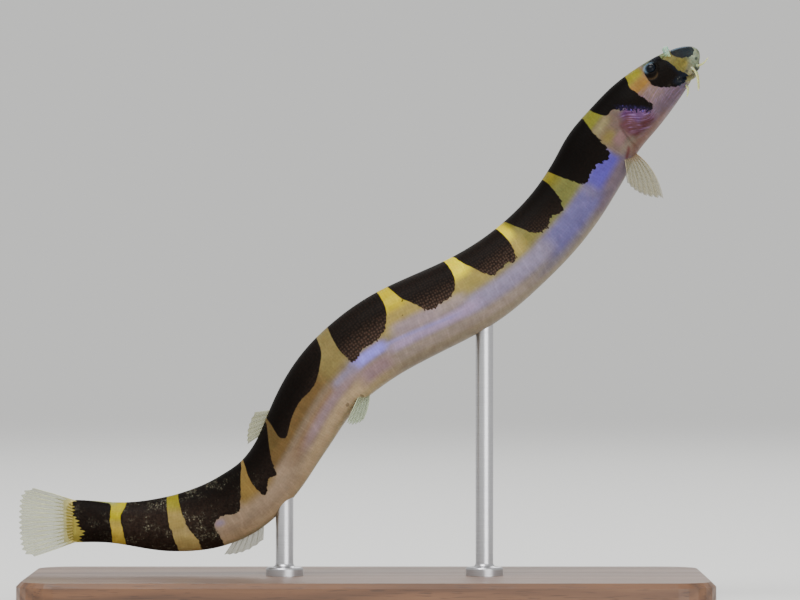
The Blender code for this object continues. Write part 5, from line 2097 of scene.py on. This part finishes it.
@dataclass
class TailFin:
    """The tail fin, a fan of forked rays off the end of the tail."""

    flesh: Flesh
    maker: RayMaker
    rays: int = 15
    middle: float = 5.6
    corner: float = 5.5
    fan: float = 18.0
    bow: float = 0.5
    gap: float = 0.3
    corner_cut: float = 0.22
    corner_power: int = 8
    sunk: float = 0.5
    inset: float = 0.9
    web_root: float = 0.4
    ray_radius: float = 0.075
    ray_sides: int = 8
    # The two halves of each ray start on the skin of either side and close on the web
    half_start: float = 84.5
    half_gap: float = 0.045
    half_close: float = 2.4
    fork: float = 0.42
    spread: float = 0.24
    ray_steps: int = 40
    web_finish: MembraneFinish = MembraneFinish(
        "tail_fin_web", paint(142, 146, 104), paint(204, 190, 116), 0.42, root_clear=0.95, root_reach=0.5,
    )
    ray_finish: RayFinish = RayFinish(
        "tail_fin_rays", tip=paint(196, 198, 160), root=paint(198, 182, 100), root_reach=0.5,
    )

    def build(self) -> None:
        """Makes the web and the rays."""
        body = self.flesh.body
        _, forward, up, right = body.axes(body.length)
        top, bottom = body.surface(body.length, 0.0), body.surface(body.length, math.pi)
        centre = (top + bottom) / 2
        share = np.linspace(0.0, 1.0, self.rays)[:, None]
        line = top * (1 - share) + bottom * share
        turn = math.radians(self.fan) * (1 - 2 * share)
        edge = np.abs(1 - 2 * share)
        reach = self.middle * (1 - edge**2) + self.corner * edge**2
        reach = reach * (1 - self.corner_cut * edge**self.corner_power)
        tips = line - forward * self.gap + (-forward * np.cos(turn) + up * np.sin(turn)) * reach
        roots = centre + (line - centre) * self.inset + forward * self.sunk
        fan = FinFan(roots, tips, right, self.bow, web_root=self.web_root, wave=0.12, rows=34, billow=0.04)
        keep(fan.web("tail_fin_web", self.web_finish.make()), Slot.MEMBRANE, "caudal_fin")
        lines = []
        for line, thick, reach in fan.ray_lines(self.fork, self.spread, self.ray_steps):
            for side in Side:
                lines.append((self.half_ray(line, side), thick * (1.5 - 0.5 * ease(reach * 4.0)), reach))
        finish = self.ray_finish.make()
        rays = self.maker.grow("tail_fin_rays", lines, self.ray_radius, self.ray_sides, finish)
        keep(rays, Slot.MEMBRANE, "caudal_fin")

    def half_ray(self, line: Array, side: Side) -> Array:
        """Moves a ray's line to one side, on the skin at its root and on the web further out.

        Args:
            line: Points of the ray in the fin's middle sheet.
            side: Which side the half-ray lies on.

        Returns:
            Points of the half-ray.
        """
        body = self.flesh.body
        centre, forward, up, right = body.axes(body.length)
        past = -(line - centre) @ forward
        height = (line - centre) @ up
        lead = np.clip(1.0 - past / self.half_close, 0.0, None)
        moved = line + forward * (body.length - self.half_start - self.sunk) * lead[:, None] ** 2
        distance = body.length - (moved - centre) @ forward
        half = np.where(height > 0, body.value("rise", distance), body.value("drop", distance))
        phi = np.arccos(np.clip(height / half, -0.96, 0.96)) * side.value
        skin = body.surface(distance, phi)
        out = (skin - body.axes(distance)[0]) @ right * side.value
        whole = self.half_close + body.length - self.half_start
        close = ease((past + body.length - self.half_start) / whole)
        offset = out * (1.0 - close) + self.half_gap * close
        return moved + right * side.value * offset[:, None]


@dataclass
class Stand:
    """The plain stand: a walnut base and two steel rods up to the belly."""

    flesh: Flesh
    base_node: str = "stand_base"
    base_top: float = 3.0
    rods: tuple[tuple[str, float], ...] = (("stand_rod_front", 12.0), ("stand_rod_rear", -8.4))
    radius: float = 0.9
    foot_radius: float = 1.9
    foot_rim: float = 0.9
    foot_height: float = 1.3
    foot_bevel: float = 0.25
    foot_steps: int = 6
    sharp_from: float = 50.0
    sunk: float = 0.4
    sides: int = 64
    wood: WoodFinish = field(default_factory=WoodFinish)
    steel: SteelFinish = field(default_factory=SteelFinish)

    def build(self, skin: bpy.types.Object) -> None:
        """Dresses the base and makes the rods.

        Args:
            skin: The skin that the rods hold.
        """
        base = bpy.data.objects[self.base_node]
        base.data.materials.clear()
        base.data.materials.append(self.wood.make())
        steel = self.steel.make()
        bpy.context.view_layer.update()
        for node, x in self.rods:
            self.build_rod(node, x, skin, steel)

    def build_rod(self, node: str, x: float, skin: bpy.types.Object, steel: Material) -> None:
        """Makes one rod with its low round foot.

        Args:
            node: The node that it stands for.
            x: Its place along the base.
            skin: The skin that it holds.
            steel: Its material.
        """
        line = self.flesh.body.line
        y = float(np.interp(x, line[::-1, 0], line[::-1, 1]))
        turns = full_turn(self.sides)
        circle = np.column_stack((np.cos(turns), np.sin(turns), np.zeros(self.sides)))
        axis = np.array((x, y, 0.0))

        def belly_above(point: Array) -> float:
            """Height of the belly over a point."""
            start = Vector((point[0] * MM, point[1] * MM, self.base_top * MM))
            return skin.ray_cast(start, Vector((0.0, 0.0, 1.0)))[1].z / MM

        rings = []
        for radius, height in self.profile():
            rings.append(axis + circle * radius + (0.0, 0.0, self.base_top + height))
        top = axis + circle * self.radius
        top[:, 2] = [belly_above(point) + self.sunk for point in top]
        rings.append(top)
        points, faces = closed_stack(
            np.array(rings),
            axis + (0.0, 0.0, self.base_top - self.sunk),
            axis + (0.0, 0.0, belly_above(axis) + self.sunk),
        )
        rod = add_piece(f"{node}_turned", points, faces, steel)
        rod.data.set_sharp_from_angle(angle=math.radians(self.sharp_from))
        keep(rod, Slot.STEEL, node)

    def profile(self) -> list[Pair]:
        """Radius and height over the base of the foot's turned outline, up to the plain rod."""
        bevel, rim = self.foot_bevel, self.foot_rim - self.foot_bevel
        quarter = np.radians(np.linspace(0.0, 90.0, self.foot_steps))
        outline = [(self.foot_radius, -self.sunk), (self.foot_radius, rim)]
        for turn in quarter:
            outline.append((self.foot_radius - bevel + bevel * math.cos(turn), rim + bevel * math.sin(turn)))
        rise = self.foot_height - self.foot_rim
        for turn in quarter:
            out, up = rise * (1 - math.sin(turn)), rise * (1 - math.cos(turn))
            outline.append((self.radius + out, self.foot_rim + up))
        return outline


@dataclass
class Studio:
    """Pale floor, soft lights and the camera."""

    floor_radius: float = 4.0
    floor_sides: int = 96
    floor_drop: float = 0.01
    camera_place: Triple = (3.379, -500.0, 31.13)
    view_width: float = 81.91
    sensor: float = 36.0
    sky: Colour = paint(232, 232, 230)
    sky_strength: float = 0.9

    def build(self) -> None:
        """Sets up the floor, the lights and the camera."""
        self.lay_floor()
        self.light("key_light", (-0.20, -0.34, 0.66), (0.005, 0.0, 0.03), 0.34, 6.0)
        self.light("fill_light", (0.26, -0.55, 0.02), (0.0, 0.0, 0.04), 0.45, 3.4)
        self.light("rim_light", (0.1, 0.55, 0.5), (0.0, 0.0, 0.03), 0.35, 2.0)
        self.set_sky()
        self.place_camera()

    def lay_floor(self) -> None:
        """Lays a round floor just under the base."""
        sides = self.floor_sides
        turns = full_turn(sides)
        rim = np.column_stack((np.cos(turns), np.sin(turns), np.zeros(sides))) * self.floor_radius / MM
        points = np.concatenate((rim, [(0.0, 0.0, 0.0)])) - (0.0, 0.0, self.floor_drop)
        faces = [(k, (k + 1) % sides, sides) for k in range(sides)]
        floor = add_piece("studio_floor", points, faces, FloorFinish().make())

    def light(self, name: str, place: Triple, target: Triple, size: float,
              power: float) -> None:
        """Hangs one soft square light.

        Args:
            name: Its name.
            place: Where it hangs, in metres.
            target: The point that it faces.
            size: Its side in metres.
            power: Its power in watts.
        """
        lamp = bpy.data.lights.new(name, "AREA")
        lamp.size = size
        lamp.energy = power
        hung = set_down(name, lamp)
        hung.visible_camera = False
        hung.location = place
        hung.rotation_euler = (Vector(target) - Vector(place)).to_track_quat("-Z", "Y").to_euler()

    def set_sky(self) -> None:
        """Lights the scene evenly from all round."""
        world = bpy.data.worlds.new("studio_backdrop")
        world.use_nodes = True
        background = world.node_tree.nodes["Background"]
        background.inputs["Color"].default_value = (*self.sky, 1.0)
        background.inputs["Strength"].default_value = self.sky_strength
        bpy.context.scene.world = world

    def place_camera(self) -> None:
        """Sets the camera level with the fish, at the photograph's framing."""
        lens = bpy.data.cameras.new("camera")
        lens.sensor_width = self.sensor
        lens.lens = self.sensor * -self.camera_place[1] / self.view_width
        lens.clip_start, lens.clip_end = 0.01, 20.0
        camera = set_down("camera", lens)
        camera.location = [value * MM for value in self.camera_place]
        camera.rotation_euler = (math.pi / 2, 0.0, 0.0)
        bpy.context.scene.camera = camera


def main() -> None:
    """Builds the model and the studio."""
    logging.basicConfig(level=logging.INFO, format="%(name)s: %(message)s")
    flesh = Flesh()
    Studio().build()
    skin = FishSkin(flesh).build()
    Eyes(flesh).build()
    Barbels(flesh).build()
    fins = Fins(flesh)
    fins.build()
    TailFin(flesh, fins.rays).build()
    Stand(flesh).build(skin)


if __name__ == "__main__":
    main()
